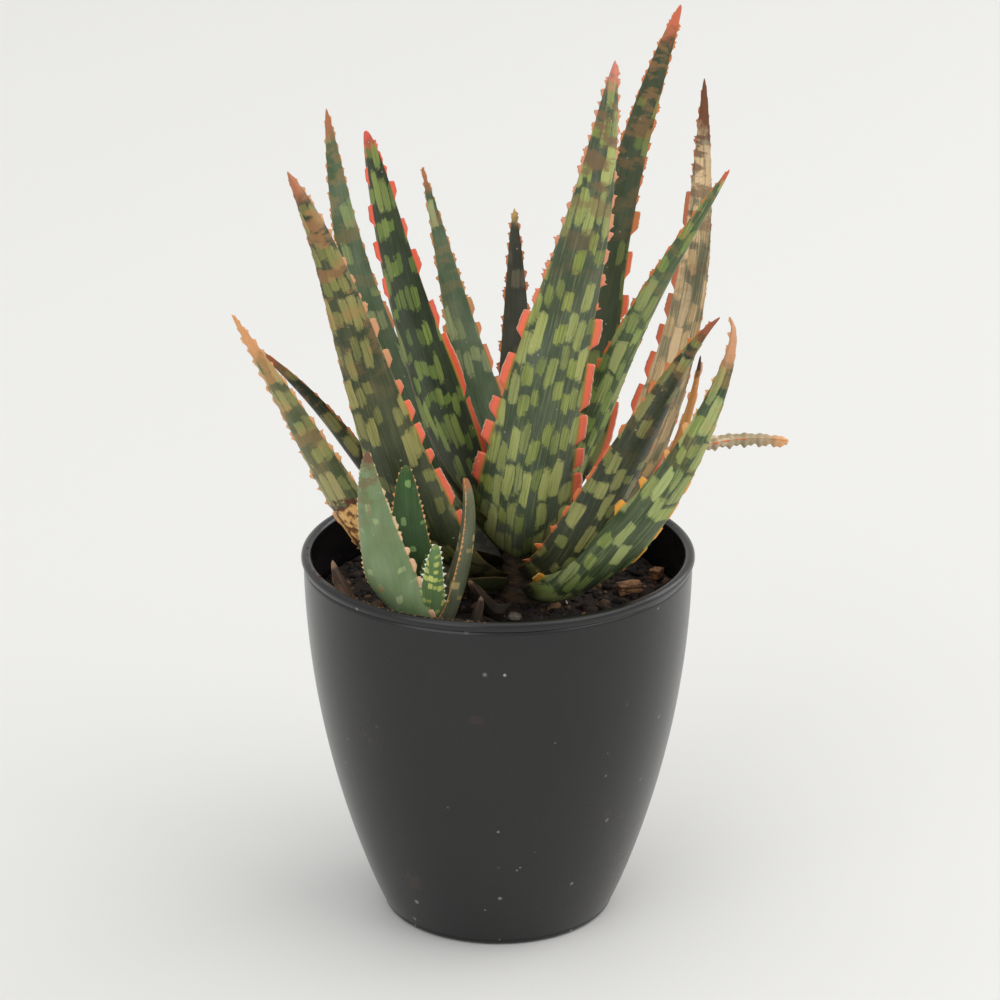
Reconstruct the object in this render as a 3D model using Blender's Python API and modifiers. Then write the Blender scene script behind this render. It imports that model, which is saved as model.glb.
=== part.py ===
"""A potted aloe: a black plastic pot, its soil, a leaning rosette of toothed leaves and a small offset.

Frame: metres, +Z up, the origin at the centre of the pot's underside, the front of the plant towards -Y.
Sizes and places below are millimetres and degrees; every mesh is scaled by MM as it is made.
"""

from dataclasses import dataclass
from math import cos, pi, radians, sin, sqrt

import bmesh
import bpy
from mathutils import Matrix, Vector

MM = 0.001
GAP = 0.3                 # clearance between pieces that touch

# Pot
POT_HEIGHT = 117.0
RIM_RADIUS = 60.0         # outside of the bead
BASE_RADIUS = 34.7        # outside of the wall at the underside, before its corner is rounded
BASE_CORNER = 2.0
WALL = 2.5
FLOOR = 3.0
BEAD_HEIGHT = 3.0
BEAD_PROUD = 0.7          # how far the bead stands out from the wall
SWELL_POWER = 0.86        # below 1, the wall swells early, as an egg does
POT_ROWS = 10
POT_STEPS = 44

# Soil
SOIL_BELOW_RIM = 16.0
SOIL_CROWN = 1.5          # how much higher its middle is
SOIL_CLEARANCE = 1.0      # room between soil and wall, which also clears the flats of the two turned faces
SOIL_ROWS = 7
SOIL_STEPS = 30

# Stems
STEM_AXIS = (7.0, -4.0)
STEM_RADIUS = 7.0
STEM_TIP_RADIUS = 3.0
STEM_HEIGHT = 25.0
OFFSET_BEARING = 239.0    # degrees round the pot from +X
OFFSET_FROM_WALL = 13.3
OFFSET_RADIUS = 3.4
OFFSET_TIP_RADIUS = 1.6
OFFSET_HEIGHT = 11.0
STEM_BURIED = 22.0        # how deep each stem goes into the soil
STEM_STEPS = 20

# Leaves
LEAF_SIDES = 8            # points round a leaf's section
LEAF_ROWS = 13            # sections along a leaf
CURVE_STEPS = 100         # straight steps that measure a leaf's length
TURN_SHARE = 0.4          # share of a leaf's length over which its face turns
INNER_SHARE = 0.3         # share of the thickness on the leaf's inner face


@dataclass(frozen=True)
class Leaf:
    """One leaf, which runs from its foot on the stem along a cubic curve to its tip.

    height is the foot's height over the soil and heading its direction from the stem, 0 at +X and 90 at
    the back. It leaves at an angle of rise for the length of reach, and then bends past bend to tip, which
    are (x, y, z) from the stem's axis at the soil. Its outer face looks along heading at the foot and
    has turned by turn once it is TURN_SHARE along. It widens from foot times its width over swell.
    """

    name: str
    heading: float
    height: float
    rise: float
    reach: float
    bend: tuple
    tip: tuple
    width: float
    thickness: float
    taper: float = 0.85
    turn: float = 0.0
    swell: float = 14.0
    foot: float = 0.34


ROSETTE = (
    Leaf("leaf_01_outer_left_low", 188, 5, 3, 40, (-38, -8, 8), (-87, 12, 87), 20, 4.0, 0.82, 62),
    Leaf("leaf_02_left_dark", 160, 11, 6, 44, (-43, 14, 42), (-80, 26, 71), 18, 3.0, 0.62, 60),
    Leaf("leaf_03_left_front", 212, 8, 12, 46, (-36, -18, 76), (-68, -14, 139), 25, 5.0, 0.72, 60),
    Leaf("leaf_04_back_left_outer", 120, 4, 4, 28, (-49, 30, 57), (-59, 44, 142), 20, 4.5, 0.72, -30),
    Leaf("leaf_05_left_red_margin", 176, 14, 50, 24, (-34, 10, 75), (-46, 12, 144), 26, 5.0, 0.56, -35, swell=20),
    Leaf("leaf_06_inner_left", 100, 17, 41, 11, (-17, 34, 70), (-30, 39, 125), 19, 4.0, 0.95, -16, swell=20),
    Leaf("leaf_07_back_centre", 92, 10, 46, 12, (-2, 32, 60), (-2, 46, 110), 17, 4.0, 0.73),
    Leaf("leaf_08_great_front", 264, 15, 80, 32, (21, -17, 118), (27, -2, 169), 30, 6.5, 0.78, 5),
    Leaf("leaf_09_tallest", 46, 21, 25, 46, (11, 22, 88), (47, 24, 179), 19, 5.0, 0.58, 62, swell=26),
    Leaf("leaf_10_back_right", 20, 9, 10, 35, (57, 30, 74), (55, 38, 153), 18, 4.5, 0.72, 60),
    Leaf("leaf_11_right_leaning", 353, 12, 68, 17, (26, 8, 75), (61, 2, 135), 17, 4.2, 0.74, -58),
    Leaf("leaf_12_front_right_dark", 294, 9, 12, 44, (38, -12, 76), (58, -18, 96), 23, 5.0, 0.87, -12),
    Leaf("leaf_13_front_right_outer", 306, 3, 6, 36, (68, -46, 92), (60, -30, 100), 17, 5.0, 0.7, -55),
    Leaf("leaf_14_low_right_dry", 58, 5, 40, 28, (50, 46, 42), (84, 46, 34), 6, 2.8, 0.3),
    Leaf("leaf_15_right_short", 358, 5, 15, 22, (51, 6, 36), (54, 12, 74), 6, 2.6),
    Leaf("leaf_16_inner_small", 200, 23, 75, 6, (-9, 1, 44), (-10, 2, 55), 6, 2.2, swell=6),
)

OFFSET = (
    Leaf("offset_leaf_1_left", 205, 2, 50, 8, (-18, -1, 38), (-16, -1, 61), 21, 3.0, 0.7, 50, 9, 0.5),
    Leaf("offset_leaf_2_back", 100, 6, 70, 6, (-6, 5, 40), (-5, 6, 54), 13, 2.6, 0.7, 0, 7),
    Leaf("offset_leaf_3_front", 295, 3, 60, 6, (3, -8, 22), (4, -7, 34), 8, 2.4, 0.7, -30, 6),
    Leaf("offset_leaf_4_right", 10, 4, 45, 7, (15, 4, 35), (12, 6, 50), 13, 2.6, 0.7, -50, 8),
    Leaf("offset_leaf_5_heart", 250, 9, 75, 4, (0, -3, 22), (1, -2, 29), 5, 1.8, 0.7, 0, 5),
)


@dataclass(frozen=True)
class Bract:
    """A dry scale of leaf that stands in the soil.

    foot is its bearing round the pot and its distance from the wall, and tip has a height over the soil too.
    """

    name: str
    foot: tuple
    tip: tuple
    heading: float
    width: float
    thickness: float


@dataclass(frozen=True)
class Lump:
    """A chip or a stone on the soil; at is its bearing round the pot and its distance from the wall."""

    name: str
    at: tuple
    size: tuple
    turn: float
    finish: str


BRACTS = (
    Bract("dry_bract_left", (218, 9.2), (195, 4.5, 17), 309, 9.0, 2.0),
    Bract("dry_bract_front", (256, 22.2), (259, 29.7, 10), 247, 6.0, 1.6),
    Bract("old_leaf_stub", (270, 36.2), (245, 35.2, 12), 173, 8.0, 2.4),
)
LUMPS = (
    Lump("bark_chip_right", (3, 16.2), (8.0, 5.0, 3.6), 20, "bark"),
    Lump("bark_chip_back", (18, 4.7), (4.5, 3.5, 3.0), 60, "bark"),
    Lump("pebble_front", (283, 33.6), (5.0, 4.2, 3.2), 0, "pebble"),
)

MATERIALS = {
    # name: (base colour, roughness)
    "pot_plastic": ((0.036, 0.036, 0.037), 0.38),
    "soil": ((0.018, 0.012, 0.009), 0.95),
    "leaf": ((0.08, 0.13, 0.06), 0.45),
    "offset_leaf": ((0.13, 0.21, 0.11), 0.5),
    "stem": ((0.25, 0.2, 0.1), 0.7),
    "dry_leaf": ((0.2, 0.1, 0.05), 0.8),
    "bark": ((0.3, 0.2, 0.12), 0.9),
    "pebble": ((0.12, 0.11, 0.09), 0.8),
}


def wall_radius(height):
    """Outside radius of the wall at a height, without the bead."""
    top = RIM_RADIUS - BEAD_PROUD
    share = max(0.0, height / POT_HEIGHT)
    return BASE_RADIUS + (top - BASE_RADIUS) * sin(pi / 2 * share**SWELL_POWER)


def inside_radius(height):
    return wall_radius(height) - WALL


def by_wall(bearing, from_wall):
    """(x, y) on the soil at a bearing round the pot and a distance inwards from its wall."""
    distance = inside_radius(POT_HEIGHT - SOIL_BELOW_RIM) - from_wall
    return distance * cos(radians(bearing)), distance * sin(radians(bearing))


def soil_top(x, y):
    """Height of the soil's surface, which falls off from its middle as a shallow cap."""
    edge = POT_HEIGHT - SOIL_BELOW_RIM
    return edge + SOIL_CROWN * max(0.0, 1.0 - (x * x + y * y) / inside_radius(edge) ** 2)


def arc(centre, radius, start, end, steps):
    """Points of an arc as (radius, height) pairs, with its angles in degrees."""
    turns = [radians(start + (end - start) * k / steps) for k in range(steps + 1)]
    return [(centre[0] + radius * cos(a), centre[1] + radius * sin(a)) for a in turns]


def spread(low, high, count):
    """Evenly spaced values from low to high, both included."""
    return [low + (high - low) * k / (count - 1) for k in range(count)]


def material(name):
    """The named material, made on first use."""
    if name in bpy.data.materials:
        return bpy.data.materials[name]
    colour, roughness = MATERIALS[name]
    made = bpy.data.materials.new(name)
    made.use_nodes = True
    shader = made.node_tree.nodes["Principled BSDF"]
    shader.inputs["Base Color"].default_value = (*colour, 1.0)
    shader.inputs["Roughness"].default_value = roughness
    return made


def object_of(shape, name, finish, collection):
    """A new object of the bmesh, in one material, shaded smooth but for its sharp edges."""
    mesh = bpy.data.meshes.new(name)
    shape.to_mesh(mesh)
    shape.free()
    mesh.materials.append(material(finish))
    mesh.shade_smooth()
    mesh.set_sharp_from_angle(angle=radians(40))
    made = bpy.data.objects.new(name, mesh)
    collection.objects.link(made)
    return made


def turned(name, profile, steps, finish, collection, axis=(0.0, 0.0)):
    """A solid turned about an upright axis, from a profile of (radius, height) whose ends lie on the axis."""
    shape = bmesh.new()
    points = [shape.verts.new((radius * MM, 0.0, height * MM)) for radius, height in profile]
    for start, end in zip(points, points[1:]):
        shape.edges.new((start, end))
    made = object_of(shape, name, finish, collection)
    made.location = (axis[0] * MM, axis[1] * MM, 0.0)
    screw = made.modifiers.new("turn", "SCREW")
    screw.steps = screw.render_steps = steps
    screw.use_merge_vertices = True
    screw.merge_threshold = 1e-6
    return made


def pot(collection):
    """The moulded pot: up the inside from the floor, over the bead, and down the outside."""
    inside = [(inside_radius(z), z) for z in spread(FLOOR, POT_HEIGHT - BEAD_HEIGHT, POT_ROWS)]
    outside = [(wall_radius(z), z) for z in spread(POT_HEIGHT - BEAD_HEIGHT, BASE_CORNER, POT_ROWS)]
    lip = inside_radius(POT_HEIGHT)
    half = (RIM_RADIUS - lip) / 2
    bead = arc((RIM_RADIUS - half, POT_HEIGHT - half), half, 180, 0, 6)
    under = (RIM_RADIUS, POT_HEIGHT - BEAD_HEIGHT + BEAD_PROUD)
    corner = arc((wall_radius(BASE_CORNER) - BASE_CORNER, BASE_CORNER), BASE_CORNER, 0, -90, 3)[1:]
    profile = [(0.0, FLOOR), *inside, *bead, under, *outside, *corner, (0.0, 0.0)]
    turned("pot", profile, POT_STEPS, "pot_plastic", collection)


def soil(collection, guides, sockets):
    """The root ball, which fills the pot up to a shallow crown and has a socket for each stem."""
    edge = POT_HEIGHT - SOIL_BELOW_RIM
    bottom = FLOOR + GAP
    reach = inside_radius(edge) - SOIL_CLEARANCE
    crown = [(reach * share, soil_top(reach * share, 0.0)) for share in (0.0, 0.35, 0.7, 1.0)]
    sides = [(inside_radius(z) - SOIL_CLEARANCE, z) for z in spread(edge, bottom, SOIL_ROWS)]
    body = turned("soil", [*crown, *sides[1:], (0.0, bottom)], SOIL_STEPS, "soil", collection)
    for number, (axis, radius, depth) in enumerate(sockets, 1):
        profile = [(0.0, POT_HEIGHT), (radius, POT_HEIGHT), (radius, depth), (0.0, depth)]
        cutter = turned(f"stem_socket_{number}", profile, STEM_STEPS, "stem", guides, axis)
        cutter.hide_render = True
        cutter.display_type = "WIRE"
        boolean = body.modifiers.new(cutter.name, "BOOLEAN")
        boolean.operation = "DIFFERENCE"
        boolean.object = cutter


@dataclass(frozen=True)
class Stem:
    """A short upright stem: its axis, its radius at the soil and at its tip, and its height over the soil."""

    name: str
    axis: tuple
    radius: float
    tip_radius: float
    height: float

    @property
    def ground(self):
        return soil_top(*self.axis)

    @property
    def socket(self):
        """The axis, radius and bottom of the hole that it needs in the soil."""
        return self.axis, self.radius + GAP, self.ground - STEM_BURIED - GAP

    def radius_at(self, over_soil):
        share = min(1.0, max(0.0, over_soil / self.height))
        return self.radius + (self.tip_radius - self.radius) * share**1.5

    def build(self, collection):
        sides = [(self.radius_at(z), self.ground + z) for z in spread(self.height, 0.0, 5)]
        top = (0.0, self.ground + self.height + self.tip_radius / 2)
        bottom = self.ground - STEM_BURIED
        profile = [top, *sides, (self.radius, bottom), (0.0, bottom)]
        turned(self.name, profile, STEM_STEPS, "stem", collection, self.axis)


def curve_point(controls, t):
    """Point of a cubic Bezier curve."""
    a, b, c, d = controls
    u = 1.0 - t
    return a * u**3 + b * (3 * u * u * t) + c * (3 * u * t * t) + d * t**3


def curve_direction(controls, t):
    """Unit tangent of a cubic Bezier curve."""
    a, b, c, d = controls
    u = 1.0 - t
    return ((b - a) * u * u + (c - b) * (2 * u * t) + (d - c) * t * t).normalized()


def even_steps(controls, count):
    """Parameters of evenly spaced points along the curve, and the curve's length."""
    walked = [0.0]
    for k in range(CURVE_STEPS):
        start, end = (curve_point(controls, t / CURVE_STEPS) for t in (k, k + 1))
        walked.append(walked[-1] + (end - start).length)
    steps, at = [], 0
    for wanted in spread(0.0, walked[-1], count):
        while at < CURVE_STEPS - 1 and walked[at + 1] < wanted:
            at += 1
        share = (wanted - walked[at]) / (walked[at + 1] - walked[at])
        steps.append(min(1.0, (at + share) / CURVE_STEPS))
    return steps, walked[-1]


def smooth(share):
    """Eases a share from 0 to 1."""
    share = min(1.0, max(0.0, share))
    return share * share * (3.0 - 2.0 * share)


def blade(name, controls, size_at, heading, turn, finish, collection):
    """A tapering solid along a cubic curve. size_at gives its width and thickness at a share of its length.

    It starts as a tube of even rings, and each ring is laid on the curve as a lens, flatter on its inner face.
    """
    steps, length = even_steps(controls, LEAF_ROWS)
    shape = bmesh.new()
    bmesh.ops.create_cone(shape, cap_ends=True, segments=LEAF_SIDES, radius1=1.0, radius2=1.0, depth=1.0)
    upright = [edge for edge in shape.edges if abs(edge.verts[0].co.z - edge.verts[1].co.z) > 0.5]
    bmesh.ops.subdivide_edges(shape, edges=upright, cuts=LEAF_ROWS - 2, use_grid_fill=True)
    point = []
    for vert in shape.verts:
        row = round((vert.co.z + 0.5) * (LEAF_ROWS - 1))
        share = row / (LEAF_ROWS - 1)
        facing = radians(heading + turn * smooth(share / TURN_SHARE))
        along = curve_direction(controls, steps[row])
        across = Vector((-sin(facing), cos(facing), 0.0))
        across = (across - along * across.dot(along)).normalized()
        outward = across.cross(along)
        width, thickness = size_at(share, length)
        side = 1.0 - INNER_SHARE if vert.co.y > 0.0 else -INNER_SHARE
        depth = thickness * side * (1.0 - vert.co.x**2)
        if row == LEAF_ROWS - 1:
            point.append(vert)
        vert.co = (curve_point(controls, steps[row]) + across * (vert.co.x * width / 2) + outward * depth) * MM
    bmesh.ops.pointmerge(shape, verts=point, merge_co=controls[3] * MM)
    bmesh.ops.recalc_face_normals(shape, faces=shape.faces)
    return object_of(shape, name, finish, collection)


def grow(leaf, stem, finish, collection):
    """Builds a leaf with its foot just clear of its stem."""
    heading, rise = radians(leaf.heading), radians(leaf.rise)
    out = Vector((cos(heading), sin(heading), 0.0))
    direction = out * cos(rise) + Vector((0.0, 0.0, sin(rise)))
    clear = GAP + leaf.thickness * leaf.foot * INNER_SHARE * sin(rise)
    foot = Vector((*stem.axis, stem.ground + leaf.height)) + out * (stem.radius_at(leaf.height) + clear)
    base = Vector((*stem.axis, stem.ground))
    controls = (foot, foot + direction * leaf.reach, base + Vector(leaf.bend), base + Vector(leaf.tip))

    def size_at(share, length):
        base = leaf.foot + (1.0 - leaf.foot) * smooth(share * length / leaf.swell)
        body = (1.0 - share) ** leaf.taper
        return leaf.width * body * base, leaf.thickness * sqrt(body) * base

    blade(leaf.name, controls, size_at, leaf.heading, leaf.turn, finish, collection)


def wither(bract, collection):
    """Builds a dry bract, which stands just clear of the soil and bows outwards."""
    stand = by_wall(*bract.foot)
    foot = Vector((*stand, soil_top(*stand) + GAP + bract.thickness * 0.15))
    tip = Vector((*by_wall(*bract.tip[:2]), soil_top(*stand) + bract.tip[2]))
    bow = (foot + tip) / 2 + Vector((0.0, 0.0, -bract.thickness))
    controls = (foot, foot.lerp(bow, 0.7), bow.lerp(tip, 0.4), tip)

    def size_at(share, length):
        body = sqrt(max(0.0, 1.0 - share)) * (0.5 + 0.5 * smooth(4 * share))
        return bract.width * body, bract.thickness * body

    blade(bract.name, controls, size_at, bract.heading, 0.0, "dry_leaf", collection)


def drop(lump, collection):
    """Lays a faceted lump on the soil."""
    shape = bmesh.new()
    bmesh.ops.create_icosphere(shape, subdivisions=2, radius=0.5)
    bmesh.ops.scale(shape, vec=Vector(lump.size) * MM, verts=shape.verts)
    bmesh.ops.rotate(shape, matrix=Matrix.Rotation(radians(lump.turn), 3, "Z"), verts=shape.verts)
    made = object_of(shape, lump.name, lump.finish, collection)
    place = by_wall(*lump.at)
    made.location = Vector((*place, soil_top(*place) + GAP + lump.size[2] / 2)) * MM


def main():
    for old in list(bpy.data.objects):
        bpy.data.objects.remove(old)
    plant = bpy.data.collections.new("potted_aloe")
    guides = bpy.data.collections.new("guides")
    for made in (plant, guides):
        bpy.context.scene.collection.children.link(made)
    main_stem = Stem("stem", STEM_AXIS, STEM_RADIUS, STEM_TIP_RADIUS, STEM_HEIGHT)
    side_axis = by_wall(OFFSET_BEARING, OFFSET_FROM_WALL)
    side_stem = Stem("offset_stem", side_axis, OFFSET_RADIUS, OFFSET_TIP_RADIUS, OFFSET_HEIGHT)
    pot(plant)
    soil(plant, guides, (main_stem.socket, side_stem.socket))
    for stem, leaves, finish in ((main_stem, ROSETTE, "leaf"), (side_stem, OFFSET, "offset_leaf")):
        stem.build(plant)
        for leaf in leaves:
            grow(leaf, stem, finish, plant)
    for bract in BRACTS:
        wither(bract, plant)
    for lump in LUMPS:
        drop(lump, plant)


main()
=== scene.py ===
"""The finished looks of a potted aloe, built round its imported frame.

The object is a black plastic pot with its soil, a leaning rosette of toothed and blotched leaves, a side
shoot, and the dry bits that lie on the soil. Lengths are millimetres until a mesh is written in metres.
"""

import logging
from dataclasses import dataclass, field
from enum import Enum
from math import cos, pi, radians, sin, tau
from random import Random
from typing import Callable, Sequence

import bmesh
import bpy
import numpy as np
from mathutils import Matrix, Vector, noise


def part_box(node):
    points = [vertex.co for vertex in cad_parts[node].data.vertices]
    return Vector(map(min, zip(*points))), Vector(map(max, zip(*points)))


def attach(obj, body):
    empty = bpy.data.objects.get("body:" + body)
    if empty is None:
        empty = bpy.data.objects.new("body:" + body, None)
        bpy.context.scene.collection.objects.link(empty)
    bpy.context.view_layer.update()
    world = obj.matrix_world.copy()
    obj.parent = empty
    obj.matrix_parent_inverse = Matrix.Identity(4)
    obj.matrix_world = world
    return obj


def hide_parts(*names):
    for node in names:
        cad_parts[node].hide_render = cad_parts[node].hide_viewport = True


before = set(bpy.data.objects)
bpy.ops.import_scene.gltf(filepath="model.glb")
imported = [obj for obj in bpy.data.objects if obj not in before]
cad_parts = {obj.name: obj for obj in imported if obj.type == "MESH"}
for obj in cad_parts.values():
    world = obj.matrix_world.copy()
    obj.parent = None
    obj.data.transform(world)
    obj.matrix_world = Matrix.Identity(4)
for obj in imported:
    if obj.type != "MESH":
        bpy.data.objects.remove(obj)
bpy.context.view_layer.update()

Colour = tuple[float, float, float]
Point = tuple[float, float, float]
Span = tuple[float, float]
Socket = bpy.types.NodeSocket

LOG = logging.getLogger("potted_aloe")
MM = 0.001
BODY = "root"
GRAIN_MAP = "grain"       # a leaf's own map: across and along it, in millimetres
NODES_IN_A_ROW = 12       # of a node tree, as it is laid out in the editor
NODE_WIDTH = 180.0
NODE_HEIGHT = 220.0

# The frame's own sizes
STEM_AXIS = (7.0, -4.0)
STEM_TAPER = 1.5          # power of the stem's narrowing; a higher one narrows it later
POT_HEIGHT = 117.0
SOIL_BELOW_RIM = 16.0
SOIL_CROWN = 1.5          # how much higher the soil's middle is
SOIL_RADIUS = 56.2
TURN_SHARE = 0.4          # share of a leaf's length over which its face turns
INNER_SHARE = 0.3         # share of the thickness on the leaf's inner face

# How fine the meshes are
SIDES = 48                # points round a leaf's section
ROW_STEP = 0.5            # distance between a leaf's sections
LEAST_ROWS = 30           # of a leaf, however short
CURVE_STEPS = 400         # straight steps that measure a curve
STEM_SIDES = 40
STEM_ROWS = 60
CAP_HEIGHT = 0.4999       # above this, a point of a unit tube is its tip

# Leaves
TIP_FULLNESS = 0.06       # how much a leaf keeps of its width near the tip
FOOT_IN_STEM = 0.75       # how far from the stem's axis a leaf starts, as a share of the stem's radius
WEAR_STEP = 0.7           # distance between the random values that roughen a margin
LAST_TOOTH = 0.975        # share of a leaf's length where its teeth end
SPINE_PEAK = 0.66         # place of a hooked spine's point along its base
TOOTH_RINGS = ((0.0, 1.0, 2.0, 3.0), (1.0, 0.72, 0.32, 0.0))  # a tooth's share of points 0 to 3 steps in
NO_RING = 9.0             # steps for a point that no tooth moves
FULL_FIN = 0.55           # height at which a tooth has its full colour
TOOTH_LEAN = 0.35         # how far a tooth leans to the leaf's tip, as a share of its height
TOOTH_WAVE = 0.2          # how far the teeth wave out of the leaf's plane, in the same way
SWAY_ACROSS = 0.45        # the most that a leaf strays from its curve to a side
SWAY_OUTWARD = 0.35       # and outward
MAP_SPACING = 60.0        # keeps the patterns of two leaves apart
SKIN_RELIEF = 0.14        # depth of the veins and pores
NOWHERE = (0.0, 0.0, 0.0)  # for a leaf whose curve is given another way

# Soil and litter
SOIL_BUMPS = ((1.1, 0.11), (0.7, 0.35), (0.35, 0.9))  # each kind's height, and how often it comes
SOIL_SETTLED = 0.4        # how far the rough surface lies under the mean one
GRIT_SHARE = 0.012        # share of the grains that are pale grit
GRIT_TINT = 1.2           # how pale those are
CRUMB_TINT = 0.8          # and the crumbs on the rim
LUMP_SUNK = 0.6           # how far a chip or a stone sinks into the soil
FOOT_SUNK = 1.0           # and a withered scale's foot


def linear(shade: int) -> float:
    """Turns a display value of 0 to 255 into the linear one that a shader takes."""
    return ((shade / 255 + 0.055) / 1.055) ** 2.4 if shade > 10 else shade / 255 / 12.92


def srgb(red: int, green: int, blue: int) -> Colour:
    """Turns a display colour of 0 to 255 into a linear one."""
    return linear(red), linear(green), linear(blue)


BLOOM = srgb(158, 162, 150)
CHAR = srgb(122, 78, 48)
CHAR_RIM = srgb(96, 58, 40)
# painted shade at a leaf's foot, partly also dirt
SHADE_AND_GRIME = srgb(34, 30, 22)
DUST = srgb(222, 216, 200)
POT_DUST = srgb(196, 190, 180)


def ease(share: np.ndarray | float) -> np.ndarray:
    """Eases a share from 0 to 1."""
    held = np.clip(share, 0.0, 1.0)
    return held * held * (3.0 - 2.0 * held)


class Graph:
    """A short way to write a node tree."""

    def __init__(self, tree: bpy.types.NodeTree) -> None:
        """Keeps the tree that it writes to."""
        self.tree = tree

    def node(self, kind: str, **settings: object) -> bpy.types.Node:
        """Adds a node and sets its properties.

        Args:
            kind: The node's type.
            settings: Its properties by name.

        Returns:
            The node.
        """
        made = self.tree.nodes.new(kind)
        row, column = divmod(len(self.tree.nodes), NODES_IN_A_ROW)
        made.location = (NODE_WIDTH * column, -NODE_HEIGHT * row)
        for name, value in settings.items():
            setattr(made, name, value)
        return made

    def feed(self, target: Socket, source: object) -> None:
        """Links a socket to an input, or sets the input's own value.

        Args:
            target: The input.
            source: A socket, a number, a vector or a colour.
        """
        if isinstance(source, Socket):
            self.tree.links.new(source, target)
        elif isinstance(source, tuple) and len(source) == 3 and target.type == "RGBA":
            target.default_value = (*source, 1.0)
        else:
            target.default_value = source

    def math(self, operation: str, *values: object) -> Socket:
        """A Math node's result.

        Args:
            operation: What it does.
            values: What it does that to: sockets or numbers.

        Returns:
            Its output.
        """
        made = self.node("ShaderNodeMath", operation=operation)
        for place, value in zip(made.inputs, values):
            self.feed(place, value)
        return made.outputs[0]

    def mix(self, share: object, first: object, second: object) -> Socket:
        """Two colours mixed by a share.

        Args:
            share: How much of the second there is.
            first: The colour at 0.
            second: The colour at 1.

        Returns:
            The mixed colour.
        """
        made = self.node("ShaderNodeMix", data_type="RGBA")
        # The node lists the sockets of all its data types; these are the colour's.
        for place, given in ((0, share), (6, first), (7, second)):
            self.feed(made.inputs[place], given)
        return made.outputs[2]

    def fit(self, value: object, low: object, high: object) -> Socket:
        """A value eased from a range into 0 to 1, and held there.

        Args:
            value: The value.
            low: What becomes 0. It may be the higher of the two.
            high: What becomes 1.

        Returns:
            The eased value.
        """
        made = self.node("ShaderNodeMapRange", interpolation_type="SMOOTHSTEP")
        for place, given in zip(made.inputs, (value, low, high)):
            self.feed(place, given)
        return made.outputs[0]

    def spread(self, vector: object, factors: Point, shift: Point = (0.0, 0.0, 0.0)) -> Socket:
        """A vector multiplied along its axes, and then shifted.

        Args:
            vector: The vector.
            factors: What each axis is multiplied by.
            shift: What is added after that.

        Returns:
            The new vector.
        """
        made = self.node("ShaderNodeVectorMath", operation="MULTIPLY_ADD")
        for place, given in zip(made.inputs, (vector, factors, shift)):
            self.feed(place, given)
        return made.outputs[0]

    def noise(self, vector: object, scale: object, detail: float = 3.0, rough: float = 0.5) -> Socket:
        """A Noise texture's value.

        Args:
            vector: Where it is read.
            scale: Its scale.
            detail: How many finer layers it has.
            rough: How strong those are.

        Returns:
            The value, mostly 0.3 to 0.7.
        """
        made = self.node("ShaderNodeTexNoise")
        for name, given in (("Vector", vector), ("Scale", scale), ("Detail", detail), ("Roughness", rough)):
            self.feed(made.inputs[name], given)
        return made.outputs[0]

    def ramp(self, value: object, stops: Sequence[tuple[float, Colour]]) -> Socket:
        """A colour ramp's colour.

        Args:
            value: The place on the ramp.
            stops: Its places and colours, lowest first.

        Returns:
            The colour at that place.
        """
        made = self.node("ShaderNodeValToRGB")
        band = made.color_ramp
        while len(band.elements) < len(stops):
            band.elements.new(0.5)
        for element, (place, colour) in zip(band.elements, stops):
            element.position = place
            element.color = (*colour, 1.0)
        self.feed(made.inputs[0], value)
        return made.outputs[0]

    def attribute(self, name: str) -> Socket:
        """The value that a mesh holds under a name."""
        return self.node("ShaderNodeAttribute", attribute_name=name).outputs["Fac"]

    def grain_map(self) -> Socket:
        """A leaf's own map."""
        return self.node("ShaderNodeUVMap", uv_map=GRAIN_MAP).outputs[0]

    def place(self) -> Socket:
        """The surface's place in the object, in metres."""
        return self.node("ShaderNodeTexCoord").outputs["Object"]

    def bump(self, height: object, distance: float) -> Socket:
        """A Bump node's normal.

        Args:
            height: The relief, of 0 to 1.
            distance: Its depth in metres.

        Returns:
            The normal.
        """
        made = self.node("ShaderNodeBump")
        self.feed(made.inputs["Distance"], distance)
        self.feed(made.inputs["Height"], height)
        return made.outputs[0]

    def group(self, tree: bpy.types.NodeTree, **given: object) -> bpy.types.NodeOutputs:
        """A shader node group in this tree, with its inputs set by name.

        Args:
            tree: The group.
            given: Its inputs by name.

        Returns:
            Its outputs.
        """
        made = self.node("ShaderNodeGroup", node_tree=tree)
        for name, value in given.items():
            self.feed(made.inputs[name], value)
        return made.outputs


def shader_group(
    name: str, inputs: dict[str, str], outputs: dict[str, str]
) -> tuple[Graph, Callable[[str], Socket], Callable[[str, Socket], None]]:
    """Starts a shader node group.

    Args:
        name: The group's name.
        inputs: Socket types by input name.
        outputs: Socket types by output name.

    Returns:
        Its graph, a function that gives an input's socket by name, and one that feeds an output.
    """
    tree = bpy.data.node_groups.new(name, "ShaderNodeTree")
    for sockets, way in ((inputs, "INPUT"), (outputs, "OUTPUT")):
        for label, kind in sockets.items():
            tree.interface.new_socket(label, in_out=way, socket_type=f"NodeSocket{kind}")
    graph = Graph(tree)
    entry = graph.node("NodeGroupInput")
    leave = graph.node("NodeGroupOutput")

    def take(label: str) -> Socket:
        """An input of the group, by name."""
        return entry.outputs[label]

    def give(label: str, source: Socket) -> None:
        """Feeds an output of the group, by name."""
        graph.feed(leave.inputs[label], source)

    return graph, take, give


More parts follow.
